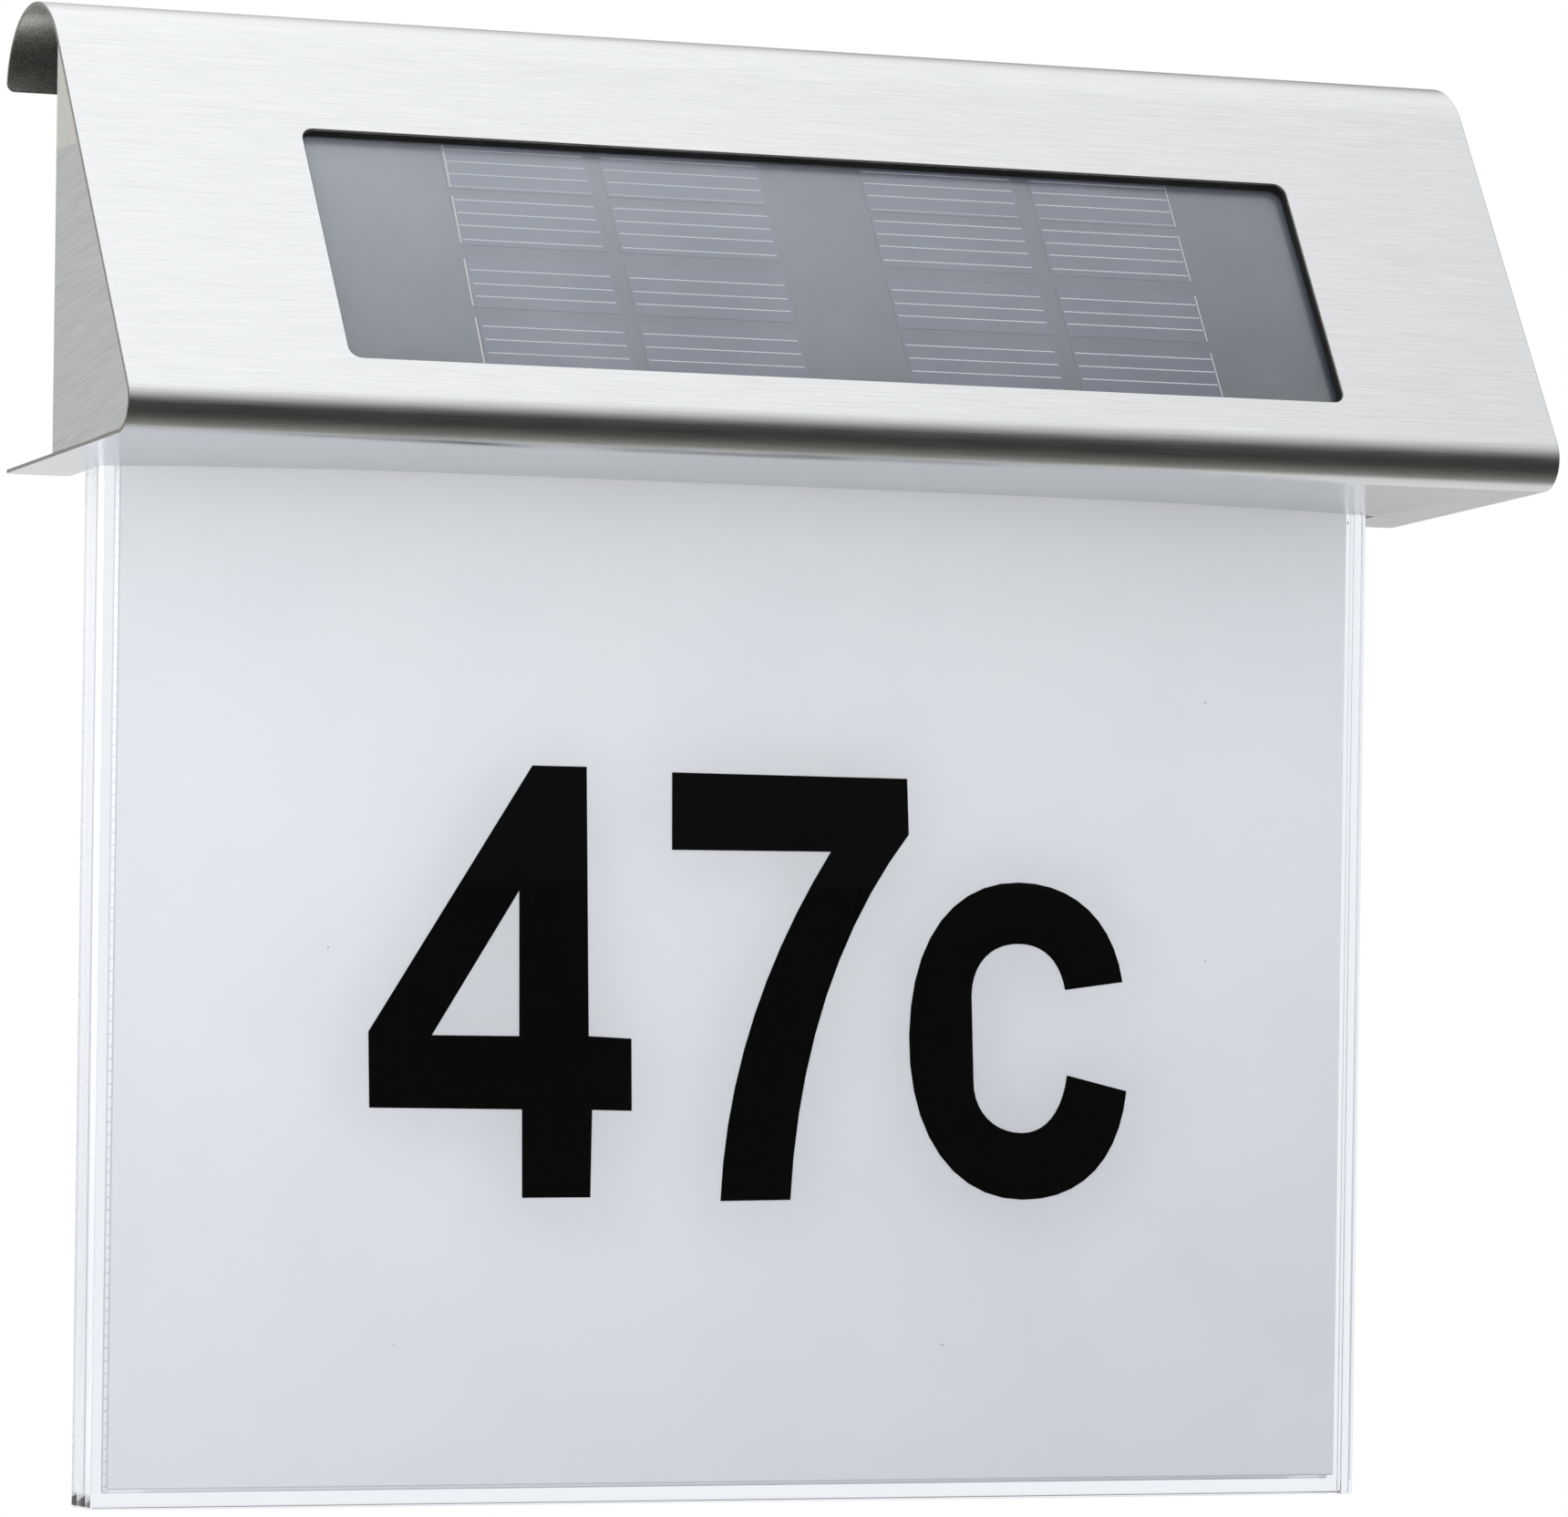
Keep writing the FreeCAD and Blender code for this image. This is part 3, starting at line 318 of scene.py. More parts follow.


# solar laminate and cells under it: blue grey and cloudy, with painted light: paler on the left and top,
# darker on the right and bottom
solarFinishes = dict(
    # color is the painted lit side at the left and top, right the painted shaded side at the right and bottom
    laminate=dict(label="solar laminate, pressed", color="#BBC3CF", right="#5E6874", roughness=0.42,
                  grain=0.5),
    silicon=dict(label="silicon cell, texture etched", color="#BEC7D8", right="#5F6981", roughness=0.35,
                 grain=0.8),
)
paintedLightAndMottle = dict(halfWidth=80.0, top=17.0, bottom=-21.0, acrossShare=0.5, cloud=26.0, sway=0.2, fleck=0.12,
            roughnesses=(0.3, 0.45), bump=(0.1, 0.01))


def makeSolarFinish(settings):
    material, add, shader, place = newMaterial(settings)
    cloud = add("TexNoise", {"Scale": perMetre(paintedLightAndMottle["cloud"]), "Detail": 3.0}, [place])
    grain = add("TexNoise", {"Scale": perMetre(settings["grain"]), "Detail": 3.0}, [place])
    split = add("SeparateXYZ", {}, [place])
    # painted light: the colour runs from the lit left and top to the shaded right and bottom, with cloudy
    # mottle over it
    reach, share, sway = paintedLightAndMottle["halfWidth"] / 1000, paintedLightAndMottle["acrossShare"], paintedLightAndMottle["sway"]
    across = add("MapRange", {1: -reach, 2: reach, 3: -sway, 4: share - sway}, [split.outputs[0]])
    down = add("MapRange", {1: paintedLightAndMottle["bottom"] / 1000, 2: paintedLightAndMottle["top"] / 1000, 3: 1 - share, 4: 0},
                   [split.outputs[2]])
    start = add("Math ADD", {}, (across, down))
    cloudy = add("Math MULTIPLY_ADD", {1: sway * 2}, {0: cloud, 2: start})
    fleck = add("Math MULTIPLY_ADD", {1: paintedLightAndMottle["fleck"]}, {0: grain, 2: cloudy})
    mixed = add("Mix", {"data_type": "RGBA", 6: linear(settings["color"]), 7: linear(settings["right"])},
                    [fleck])
    link(mixed, shader, "Base Color")
    vary(add, shader, dict(settings, roughnesses=paintedLightAndMottle["roughnesses"], bump=paintedLightAndMottle["bump"]), grain)
    return material


# finishes that one grain makes; its size is in millimetres
grainedFinishes = dict(
    # the hood's sheet inside, as it left the mill: matt and faintly speckled
    mill=dict(label="stainless steel, mill finish", color="#F0F1EC", darker="#B9BAB4", roughness=0.36,
              metallic=1.0, grain=0.3, between=(0.35, 0.65), roughnesses=(0.3, 0.42), bump=(0.3, 0.015)),
    # its laser-cut edge: darker, with a faint oxide tint
    cutEdge=dict(label="stainless steel, laser cut edge", color="#ABAAA6", darker="#8F8E8A", roughness=0.5,
                 metallic=1.0, grain=0.4, detail=2.0, bump=(0.2, 0.02)),
    # vinyl, knife-cut: glossy and near black, with the soft ripple that applied film has
    vinyl=dict(label="vinyl, knife cut, glossy", color="#050404", roughness=0.2, specular=0.02, grain=14.0,
               detail=2.0, roughnesses=(0.15, 0.3), roughBetween=(0.35, 0.7), bump=(0.2, 0.03)),
    # EPDM rubber, die cut: dull black with a dusty bloom
    rubber=dict(label="EPDM rubber, die cut", color="#121212", paler="#1E1E1D", roughness=0.8, ior=1.52,
                grain=3.0, detail=5.0, between=(0.35, 0.7), bump=(0.2, 0.05)),
    # PET cover of the solar laminate: clear, lightly matted so that it shows no sharp reflection
    cover=dict(label="PET cover, lightly matted", color="#FFFFFF", roughness=0.2, ior=1.5, clear=1.0,
               grain=0.5, detail=2.0, roughnesses=(0.04, 0.12)),
)
# the small parts' finishes vary alike: a little smoother and rougher than their middle, and barely raised
smallGrain = dict(smoother=0.05, rougher=0.08, bump=(0.12, 0.02))
smallColumns = "label color paler roughness metallic grain".split()
smallFinishes = dict(
    # solder mask over the weave: satin green
    board=("glass epoxy board, solder masked", "#1E5A3C", "#256B47", 0.35, 0, 0.5),
    # printed and fired: pale and slightly grainy
    silver=("silver paste, screen printed", "#E6E6EA", "#F4F4F6", 0.4, 0, 0.2),
    # bright plating with a cloudy bloom
    zinc=("steel, zinc plated", "#B9BCC0", "#CDD0D4", 0.3, 1, 0.8),
    # smooth, warm and bright
    nickel=("spring steel, nickel plated", "#C9C5BC", "#D8D5CE", 0.22, 1, 1.2),
    # pressed powder: dark and dry
    ferrite=("ferrite, sintered", "#2B2929", "#383635", 0.7, 0, 0.3),
    # matt black with a fine filler grain
    chip=("epoxy package, moulded", "#161617", "#202022", 0.55, 0, 0.25),
    # drawn thin: soft silver sheen
    can=("aluminium can, drawn", "#A9AFB5", "#BCC1C6", 0.35, 1, 0.6),
    # shrunk tight: smooth, with slow waves
    sleeve=("PVC sleeve, shrunk", "#2F6E4A", "#377A54", 0.3, 0, 5.0),
    # stamped card: chalky
    insulator=("card ring, die cut", "#E8E5DC", "#F1EFE8", 0.8, 0, 0.4),
    # extruded: even and waxy
    redWire=("PVC insulation, red", "#B01B1B", "#BE2626", 0.4, 0, 2.0),
    blackWire=("PVC insulation, black", "#141414", "#1E1E1E", 0.4, 0, 2.0),
    # moulded: satin and slightly greasy
    knob=("acetal, moulded", "#202021", "#2A2A2B", 0.45, 0, 0.3),
    # cast with its powder in it: yellow and cloudy
    phosphor=("phosphor resin, cast", "#E9D98A", "#F0E3A0", 0.3, 0, 0.15),
)


def makeGrained(settings):
    material, add, shader, place = newMaterial(settings)
    grain = add("TexNoise", {"Scale": perMetre(settings["grain"]), "Detail": settings.get("detail", 3.0)},
                    [place])
    vary(add, shader, settings, grain)
    return material


steel = makeBrushedSteel(brushedSteel)
cheek = makeCheekSteel(cheekSteel)
acrylic = makeClearAcrylic(clearAcrylic)
film = makeWhiteFilm(whiteFilm)
mirror = makeWhiteFilm(mirrorFilm)
finish = dict(blackAbs=makeMouldedAbs(mouldedAbs))
for name, settings in solarFinishes.items():
    finish[name] = makeSolarFinish(settings)
for name, settings in grainedFinishes.items():
    finish[name] = makeGrained(settings)
for name, values in smallFinishes.items():
    settings = dict(zip(smallColumns, values), bump=smallGrain["bump"])
    settings["roughnesses"] = (settings["roughness"] - smallGrain["smoother"],
                               settings["roughness"] + smallGrain["rougher"])
    finish[name] = makeGrained(settings)
print("materials made")


# plates are cut outlines with rounded edges, laid on a surface

def roundedOutline(corners, radius, steps=6):
    points = []
    for k, corner in enumerate(corners):
        here = Vector(corner)
        before = (Vector(corners[k - 1]) - here).normalized()
        after = (Vector(corners[(k + 1) % len(corners)]) - here).normalized()
        half = before.angle(after) / 2
        center = here + (before + after).normalized() * (radius / math.sin(half))
        trim = radius / math.tan(half)
        start, end = here + before * trim - center, here + after * trim - center
        swing = start.angle_signed(end)
        for step in range(steps + 1):
            points.append(center + Matrix.Rotation(-swing * step / steps, 2) @ start)
    return points


def circleOutline(middle, radius, steps=24):
    # clockwise, as a hole is
    angles = [-math.tau * k / steps for k in range(steps)]
    return [Vector((middle[0] + radius * math.cos(a), middle[1] + radius * math.sin(a))) for a in angles]


def curveOutline(path, steps=10):
    # each item is a point, or two handles and a point
    points = []
    for item in path:
        if isinstance(item[0], (int, float)):
            points.append(Vector(item))
            continue
        start = points[-1]
        one, two, end = (Vector(p) for p in item)
        for step in range(1, steps + 1):
            t = step / steps
            u = 1 - t
            points.append(start * u ** 3 + one * 3 * t * u ** 2 + two * 3 * t * t * u + end * t ** 3)
    return points


def withCuts(points, cutsX, cutsT):
    # adds points where the straight, square edges cross the cuts
    full = []
    for k, here in enumerate(points):
        after = points[(k + 1) % len(points)]
        full.append(here)
        for axis, cuts in ((0, cutsX), (1, cutsT)):
            if abs(here[1 - axis] - after[1 - axis]) < 1e-4 and abs(here[axis] - after[axis]) > 1e-3:
                low, high = sorted((here[axis], after[axis]))
                inside = [c for c in cuts if low + 1e-3 < c < high - 1e-3]
                for cut in sorted(inside, reverse=after[axis] < here[axis]):
                    point = here.copy()
                    point[axis] = cut
                    full.append(point)
    return full


def outwardOf(points):
    # the side away from the plate: right of the way round
    result = []
    for k, here in enumerate(points):
        one = (here - points[k - 1]).normalized()
        two = (points[(k + 1) % len(points)] - here).normalized()
        way = (one + two).normalized()
        miter = 1 / max(0.5, way.dot(one))
        result.append(Vector((way.y, -way.x)) * miter)
    return result


def edgeRings(thickness, roundness, steps=3, grooves=()):
    # inset, depth and lean of each ring, from the front face round the edge to the back face
    turns = [math.pi / 2 * step / steps for step in range(steps + 1)]
    front = [(roundness * (1 - math.sin(a)), roundness * (1 - math.cos(a)), math.degrees(a)) for a in turns]
    back = [(roundness * (1 - math.cos(a)), thickness - roundness * (1 - math.sin(a)), 90 + math.degrees(a))
            for a in turns]
    between = []
    for depth, size in grooves:  # a groove's sides lean 10 degrees
        between += [(0, depth - size, 100), (size, depth, 90), (0, depth + size, 80)]
    return front + between + back


def addPiece(name, points, faces, materials, slot, body="sign", stands=(), normals=None, flat=None,
             marks=None, smooth=True):
    mesh = bpy.data.meshes.new(name)
    mesh.from_pydata([Vector(p) / 1000 for p in points], [], faces)
    for material in materials:
        mesh.materials.append(material)
    if marks:
        mesh.polygons.foreach_set("material_index", marks)
    if flat:
        layer = mesh.uv_layers.new(name="along")
        for loop in mesh.loops:
            layer.data[loop.index].uv = Vector(flat[loop.vertex_index]) / 100
    mesh.polygons.foreach_set("use_smooth", [smooth] * len(mesh.polygons))
    if normals:
        mesh.normals_split_custom_set_from_vertices(normals)
    piece = addObject(name, mesh)
    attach(piece, body)
    if stands:
        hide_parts(*stands)
    return piece


def addPlate(name, loops, rings, where, materials, slot, cutsX=(), cutsT=(), stands=()):
    # loops: the outer outline against the clock, then holes with it
    # where(x, t, depth): the point, its normal, and the ways that x and t go there
    # materials: one, or three for the front, the back and the edge
    loops = [withCuts(loop, cutsX, cutsT) for loop in loops]
    sides = [outwardOf(loop) for loop in loops]
    bm = bmesh.new()
    rim = []
    for loop, side in zip(loops, sides):
        first = [bm.verts.new((*(p - s * rings[0][0]), 0)) for p, s in zip(loop, side)]
        for k, vert in enumerate(first):
            bm.edges.new((vert, first[(k + 1) % len(first)]))
        rim.append(first)
    bmesh.ops.triangle_fill(bm, use_beauty=True, use_dissolve=False, edges=bm.edges[:], normal=(0, 0, 1))
    for way, cuts in ((Vector((1, 0, 0)), cutsX), (Vector((0, 1, 0)), cutsT)):
        for cut in cuts:
            bmesh.ops.bisect_plane(bm, geom=bm.verts[:] + bm.edges[:] + bm.faces[:], dist=1e-4,
                                   plane_co=way * cut, plane_no=way)
    bm.normal_update()
    points, normals, flat, faces, marks = [], [], [], [], []

    def put(x, t, depth, lean, side):
        point, normal, wayX, wayT = where(x, t, depth)
        out = (wayX * side[0] + wayT * side[1]).normalized() if side else Vector((0, 0, 0))
        a = math.radians(lean)
        points.append(point)
        normals.append((normal * math.cos(a) + out * math.sin(a)).normalized())
        flat.append((x, t))
        return len(points) - 1

    front, back = {}, {}
    for vert in bm.verts:
        front[vert] = put(vert.co.x, vert.co.y, rings[0][1], 0, None)
        back[vert] = put(vert.co.x, vert.co.y, rings[-1][1], 180, None)
    for face in bm.faces:
        ring = list(face.verts) if face.normal.z > 0 else list(face.verts)[::-1]
        faces.append([front[v] for v in ring])
        faces.append([back[v] for v in ring[::-1]])
        marks += [0, 1]
    for loop, side, first in zip(loops, sides, rim):
        last = [front[v] for v in first]
        for level in rings[1:-1] + [None]:
            if level:
                inset, depth, lean = level
                new = [put(*(p - s * inset), depth, lean, s) for p, s in zip(loop, side)]
            else:                # the last ring is the back face's own
                new = [back[v] for v in first]
            faces += map(list, zip(last, new, new[1:] + new[:1], last[1:] + last[:1]))
            last = new
    bm.free()
    normal, wayX, wayT = where(0, 1, 0)[1:]
    if wayX.cross(wayT).dot(normal) < 0:     # a mirrored way round
        faces = [face[::-1] for face in faces]
    marks = marks + [2] * (len(faces) - len(marks)) if len(materials) > 1 else None
    return addPiece(name, points, faces, materials, slot, normals=normals, flat=flat, marks=marks,
                    stands=stands)


def pasteOf(node, material):
    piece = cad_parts[node]
    if not piece.material_slots:
        piece.data.materials.append(material)
    for slot in piece.material_slots:
        slot.material = material


# the hood is one folded sheet; its plate runs from the hook over the crown and down to the flange
hood = dict(
    half=112.5, sheet=0.5, top=30.0, crownRadius=11.75, slant=31.7, slopeLength=59.6,
    foldRadius=4.6, fall=3.9, wallGap=1.4, corner=1.2, edge=0.12,
    windowHalf=78.4, windowStart=14.2, windowEnd=53.8, windowCorner=1.8,
    notchHalf=102.6, notchFront=14.4, bow=0.95, bowShape=1.3,
    hookCut=1.6, crownSteps=38, foldSteps=30, flangeSteps=5, flangeRest=2.0, beside=0.4,
    middlePitch=10.0, middleSteps=7, sideCuts=(82, 90, 96, 100),
)
slant, fall = map(math.radians, pick(hood, "slant fall"))
crownRadius, foldRadius = pick(hood, "crownRadius foldRadius")
downhill = Vector((0, -math.sin(slant), -math.cos(slant)))
inward = Vector((0, math.cos(slant), -math.sin(slant)))
backward = Vector((0, math.cos(fall), -math.sin(fall)))
underside = Vector((0, -math.sin(fall), -math.cos(fall)))
crownMiddle = Vector((0, -crownRadius, hood["top"] - crownRadius))
slopeTop = crownMiddle - inward * crownRadius
foldMiddle = slopeTop + downhill * hood["slopeLength"] + inward * foldRadius
flangeStart = foldMiddle + underside * foldRadius
crownTurn = math.pi - slant
foldTurn = math.pi / 2 - fall + slant
crownEnd = crownTurn * crownRadius
slopeFoot = crownEnd + hood["slopeLength"]
foldEnd = slopeFoot + foldTurn * foldRadius
flangeEnd = foldEnd + (-hood["wallGap"] - flangeStart.y) / backward.y
notchStart = foldEnd + (-hood["notchFront"] - flangeStart.y) / backward.y


def bendAt(middle, radius, a):
    out = Vector((0, math.cos(a), math.sin(a)))
    return middle + out * radius, out, Vector((0, -math.sin(a), math.cos(a)))


def sectionAt(t):
    # point on the outer face, way out and way on, at a distance round the section
    if t < crownEnd:
        return bendAt(crownMiddle, crownRadius, t / crownRadius)
    if t < slopeFoot:
        return slopeTop + downhill * (t - crownEnd), -inward, downhill
    if t < foldEnd:
        return bendAt(foldMiddle, foldRadius, crownTurn + (t - slopeFoot) / foldRadius)
    return flangeStart + backward * (t - foldEnd), underside, backward


def onHood(x, t, depth):
    point, out, way = sectionAt(t)
    wayX = Vector((1, 0, 0))
    place = point - out * depth + Vector((x, 0, 0))
    across = abs(x) / hood["notchHalf"]
    if t > foldEnd and across < 1:   # the long flange bows up a little between its ears
        bow, shape, length = *pick(hood, "bow bowShape"), notchStart - foldEnd
        reach = min(1.0, (t - foldEnd) / length)
        place.z += bow * (1 - across ** 4) * reach ** shape
        rise = bow * (1 - across ** 4) * shape * reach ** (shape - 1) / length
        dip = -4 * bow * across ** 3 / hood["notchHalf"] * reach ** shape
        way = (way + Vector((0, 0, rise))).normalized()
        wayX = (wayX + Vector((0, 0, math.copysign(dip, x) if x else 0))).normalized()
        out = way.cross(wayX).normalized()
    return place, out, wayX, way


def evenly(first, last, steps):
    return [first + k * (last - first) / steps for k in range(steps + 1)]


def makeHood():
    half, notch, wide, first, beside = pick(hood, "half notchHalf windowHalf hookCut beside")
    end = flangeEnd
    outer = roundedOutline([(-half, 0), (half, 0), (half, end), (notch, end), (notch, notchStart),
                            (-notch, notchStart), (-notch, end), (-half, end)], hood["corner"])
    low, high = crownEnd + hood["windowStart"], crownEnd + hood["windowEnd"]
    window = roundedOutline([(-wide, low), (-wide, high), (wide, high), (wide, low)], hood["windowCorner"])
    cutsT = evenly(first, crownEnd, hood["crownSteps"]) + [crownEnd + beside, slopeFoot - beside]
    cutsT += evenly(slopeFoot, foldEnd, hood["foldSteps"]) + [foldEnd + beside]
    cutsT += evenly(foldEnd, notchStart - hood["flangeRest"], hood["flangeSteps"])[1:]
    reach = hood["middlePitch"] * hood["middleSteps"]
    cutsX = evenly(-reach, reach, hood["middleSteps"] * 2)
    cutsX += [side * x for side in (-1, 1) for x in hood["sideCuts"]]
    addPlate("hood", [outer, window], edgeRings(hood["sheet"], hood["edge"]), onHood,
             [steel, *pick(finish, "mill cutEdge")], "stainless_sheet", cutsX, cutsT,
             stands=["hood_sheet"])


makeHood()
for node in ("end_cheek_left", "end_cheek_right"):
    pasteOf(node, cheek)
print("hood folded")


def addTurned(name, profile, start, way, steps, materials, slot, bands=None, **more):
    # profile: distance along and radius of each ring; the ends close on the axis
    way = Vector(way).normalized()
    side = way.orthogonal().normalized()
    other = way.cross(side)
    points, faces, marks, rows = [], [], [], []
    for along, radius in profile:
        middle = Vector(start) + way * along
        if radius == 0:
            points.append(middle)
            rows.append([len(points) - 1] * steps)
            continue
        rows.append(range(len(points), len(points) + steps))
        for k in range(steps):
            a = math.tau * k / steps
            points.append(middle + (side * math.cos(a) + other * math.sin(a)) * radius)
    for level, (low, high) in enumerate(zip(rows, rows[1:])):
        for k in range(steps):
            ring = [low[k], low[(k + 1) % steps], high[(k + 1) % steps], high[k]]
            ring = [v for j, v in enumerate(ring) if v not in ring[:j]]
            if len(ring) > 2:
                faces.append(ring)
                marks.append(bands[level] if bands else 0)
    piece = addPiece(name, points, faces, materials, slot, marks=marks, **more)
    piece.data.set_sharp_from_angle(angle=math.radians(40))
    return piece


weldStud = dict(radius=1.5, foot=2.3, footHeight=0.4, length=8.0, pitch=0.5, thread=0.15, threadStart=0.3,
                pointLength=0.2, pointDepth=0.3, sides=20, across=92.0, places=(20.0, 47.0))


def makeStuds():
    radius, foot, base, length, pitch = pick(weldStud, "radius foot footHeight length pitch")
    profile = [(0, 0), (0, foot), (base, foot), (base, radius)]
    along = base + weldStud["threadStart"]
    while along < length - pitch:
        profile += [(along, radius), (along + pitch / 2, radius - weldStud["thread"])]
        along += pitch
    profile += [(length - weldStud["pointLength"], radius), (length, radius - weldStud["pointDepth"]),
                (length, 0)]
    spots = [(side * weldStud["across"], s) for side in (-1, 1) for s in weldStud["places"]]
    for count, (x, s) in enumerate(spots, 1):
        start = slopeTop + downhill * s + inward * hood["sheet"] + Vector((x, 0, 0))
        addTurned("weldStud" + str(count), profile, start, inward, weldStud["sides"], [finish["zinc"]],
                  "stainless_sheet")


makeStuds()
print("studs welded")

solar = dict(
    half=80.6, start=12.0, end=56.0, corner=1.8, edge=0.1, front=1.7, back=2.25,
    wafer=0.07, waferDepth=2.42, margin=0.45, finger=0.02, fingerDepth=2.39, fingerWidth=0.17,
    columns=((-56.2, -34.6), (-31.5, -7.3), (9.8, 33.7), (37.1, 59.2)),
    rows=(14.8, 16.9, 19.1, 23.7, 26.0, 28.2, 30.7, 36.0, 38.4, 40.6, 45.8, 48.1, 50.4),    # down the slope
    strips=((14.0, 21.5), (23.1, 31.4), (34.0, 42.3), (44.4, 52.4)),
    rightRise=0.25, faintRow=21.3, faintShare=0.5,
    collectorWidth=0.24, leftLine=-56.1, leftLean=0.03, rightLine=59.5, rightShare=0.6,
)


def onSlope(x, t, depth):
    return slopeTop + downhill * t + inward * depth + Vector((x, 0, 0)), -inward, Vector((1, 0, 0)), downhill


def stripe(points, faces, x0, t0, x1, t1, width, near, thick):
    # a thin bar between two places on the slope
    way = Vector((x1 - x0, t1 - t0)).normalized()
    side = Vector((-way.y, way.x)) * width / 2
    first = len(points)
    for depth in (near, near + thick):
        for x, t, s in ((x0, t0, -1), (x1, t1, -1), (x1, t1, 1), (x0, t0, 1)):
            points.append(onSlope(x + side.x * s, t + side.y * s, depth)[0])
    quads = ((3, 2, 1, 0), (4, 5, 6, 7), (0, 1, 5, 4), (1, 2, 6, 5), (2, 3, 7, 6), (3, 0, 4, 7))
    faces.extend([[first + v for v in quad] for quad in quads])


def makeSolar():
    half, low, high = pick(solar, "half start end")
    outline = roundedOutline([(-half, low), (half, low), (half, high), (-half, high)], solar["corner"])
    addPlate("solarCover", [outline], edgeRings(solar["back"] - solar["front"], solar["edge"]),
             lambda x, t, depth: onSlope(x, t, solar["front"] + depth), [finish["cover"]], "cover_clear",
             stands=["solar_cover"])
    points, faces, margin = [], [], solar["margin"]
    for left, right in solar["columns"]:
        for low, high in solar["strips"]:
            middle = (low + high) / 2
            stripe(points, faces, left - margin, middle, right + margin, middle, high - low + margin,
                   solar["waferDepth"], solar["wafer"])
    cells = [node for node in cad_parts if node.startswith("solar_cell")]
    addPiece("cellWafers", points, faces, [finish["silicon"]], "silicon", stands=cells, smooth=False)
    points, faces = [], []
    depth, thick, width, collector = pick(solar, "fingerDepth finger fingerWidth collectorWidth")
    for left, right in solar["columns"]:
        for t in solar["rows"]:
            t -= solar["rightRise"] if left > 0 else 0.0
            stripe(points, faces, left, t, right, t, width, depth, thick)
        t = solar["faintRow"]
        stripe(points, faces, left, t, right, t, width * solar["faintShare"], depth, thick)
    for low, high in solar["strips"]:
        # the left line leans out a little on its way down
        x0, x1 = (solar["leftLine"] - (t - solar["strips"][0][0]) * solar["leftLean"] for t in (low, high))
        stripe(points, faces, x0, low, x1, high, collector, depth, thick)
        x = solar["rightLine"]
        stripe(points, faces, x, low, x, high, collector * solar["rightShare"], depth, thick)
    addPiece("cellFingers", points, faces, [finish["silver"]], "silicon", smooth=False)


makeSolar()
pasteOf("solar_board", finish["laminate"])
pasteOf("window_seal", finish["rubber"])
print("solar window set")

panel = dict(
    half=101.6, front=13.4, depth=8.4, base=-184.5, shoulder=-32.24, tongueHalf=92.5, tongueTop=-21.94,
    edge=0.28, joints=(2.4, 6.0), groove=0.04, screwX=62.0, screwHeight=-26.94, screwHole=1.7, corner=0.4,
)


def onPanel(x, z, depth):
    return (Vector((x, -panel["front"] + depth, z)), Vector((0, -1, 0)), Vector((1, 0, 0)), Vector((0, 0, 1)))


def makePanel():
    # one clear body for the three bonded plates, with a fine groove where they meet
    half, base, shoulder, tongue, top = pick(panel, "half base shoulder tongueHalf tongueTop")
    outer = roundedOutline([(-half, base), (half, base), (half, shoulder), (tongue, shoulder), (tongue, top),
                            (-tongue, top), (-tongue, shoulder), (-half, shoulder)], panel["corner"], 4)
    holes = [circleOutline((side * panel["screwX"], panel["screwHeight"]), panel["screwHole"])
             for side in (-1, 1)]
    grooves = [(joint, panel["groove"]) for joint in panel["joints"]]
    addPlate("acrylicPanel", [outer] + holes, edgeRings(panel["depth"], panel["edge"], 3, grooves), onPanel,
             [acrylic], "acrylic_clear", stands=["panel_front", "light_guide", "panel_rear"])


makePanel()

filmSheet = dict(left=-98.7, right=99.0, top=-34.24, thickness=0.3, corner=0.3, edge=0.05,
                 frontBottom=-181.7, frontDepth=2.4, rearBottom=-182.3, rearDepth=5.7)


def makeFilm(name, node, look, bottom, depth):
    left, right, top, corner = pick(filmSheet, "left right top corner")
    outline = roundedOutline([(left, bottom), (right, bottom), (right, top), (left, top)], corner, 3)
    addPlate(name, [outline], edgeRings(filmSheet["thickness"], filmSheet["edge"], 2),
             lambda x, z, d: onPanel(x, z, depth + d), [look], "film_white", stands=[node])


makeFilm("diffuserFilm", "diffuser_film", film, filmSheet["frontBottom"], filmSheet["frontDepth"])
makeFilm("reflectorFilm", "reflector_film", mirror, filmSheet["rearBottom"], filmSheet["rearDepth"])

# the characters lie on the film, behind the front plate: they cast no shadow on it
lettering = dict(thickness=0.1, edge=0.03, gap=0.004, raised=30.0, aside=0.65)
characters = dict(
    numeralFour=[(-35.1, -106.7), (-60.2, -145.8), (-59.9, -156.8), (-36.0, -156.9), (-35.8, -169.8),
                 (-25.0, -169.7), (-24.9, -156.9), (-18.6, -157.0), (-18.8, -146.4), (-25.6, -146.1),
                 (-26.5, -106.7)],
    numeralSeven=[(-12.9, -107.2), (-12.75, -118.6), (12.9, -118.4),
                  ((3.0, -133.5), (-3.6, -151.0), (-4.2, -170.2)), (7.1, -170.0),
                  ((8.0, -148.0), (14.5, -129.5), (25.6, -115.6)), (25.2, -107.3)],
    letterC=[(61.4, -137.1), ((59.8, -128.0), (53.3, -122.4), (43.9, -122.4)),
             ((33.5, -122.4), (26.1, -130.5), (26.1, -145.5)),
             ((26.1, -160.5), (34.0, -169.9), (45.2, -169.9)),
             ((55.5, -169.9), (61.3, -163.5), (62.3, -153.5)), (52.3, -151.2),
             ((51.6, -156.8), (48.8, -159.9), (44.9, -159.9)),
             ((40.6, -159.9), (36.8, -157.0), (36.8, -152.0)),
             (36.3, -139.4), ((36.3, -134.6), (39.4, -131.6), (44.0, -131.6)),
             ((48.3, -131.6), (50.9, -134.2), (51.8, -138.4))],
)
holesIn = dict(numeralFour=[(-50.3, -146.2), (-36.6, -146.2), (-36.9, -125.0)])


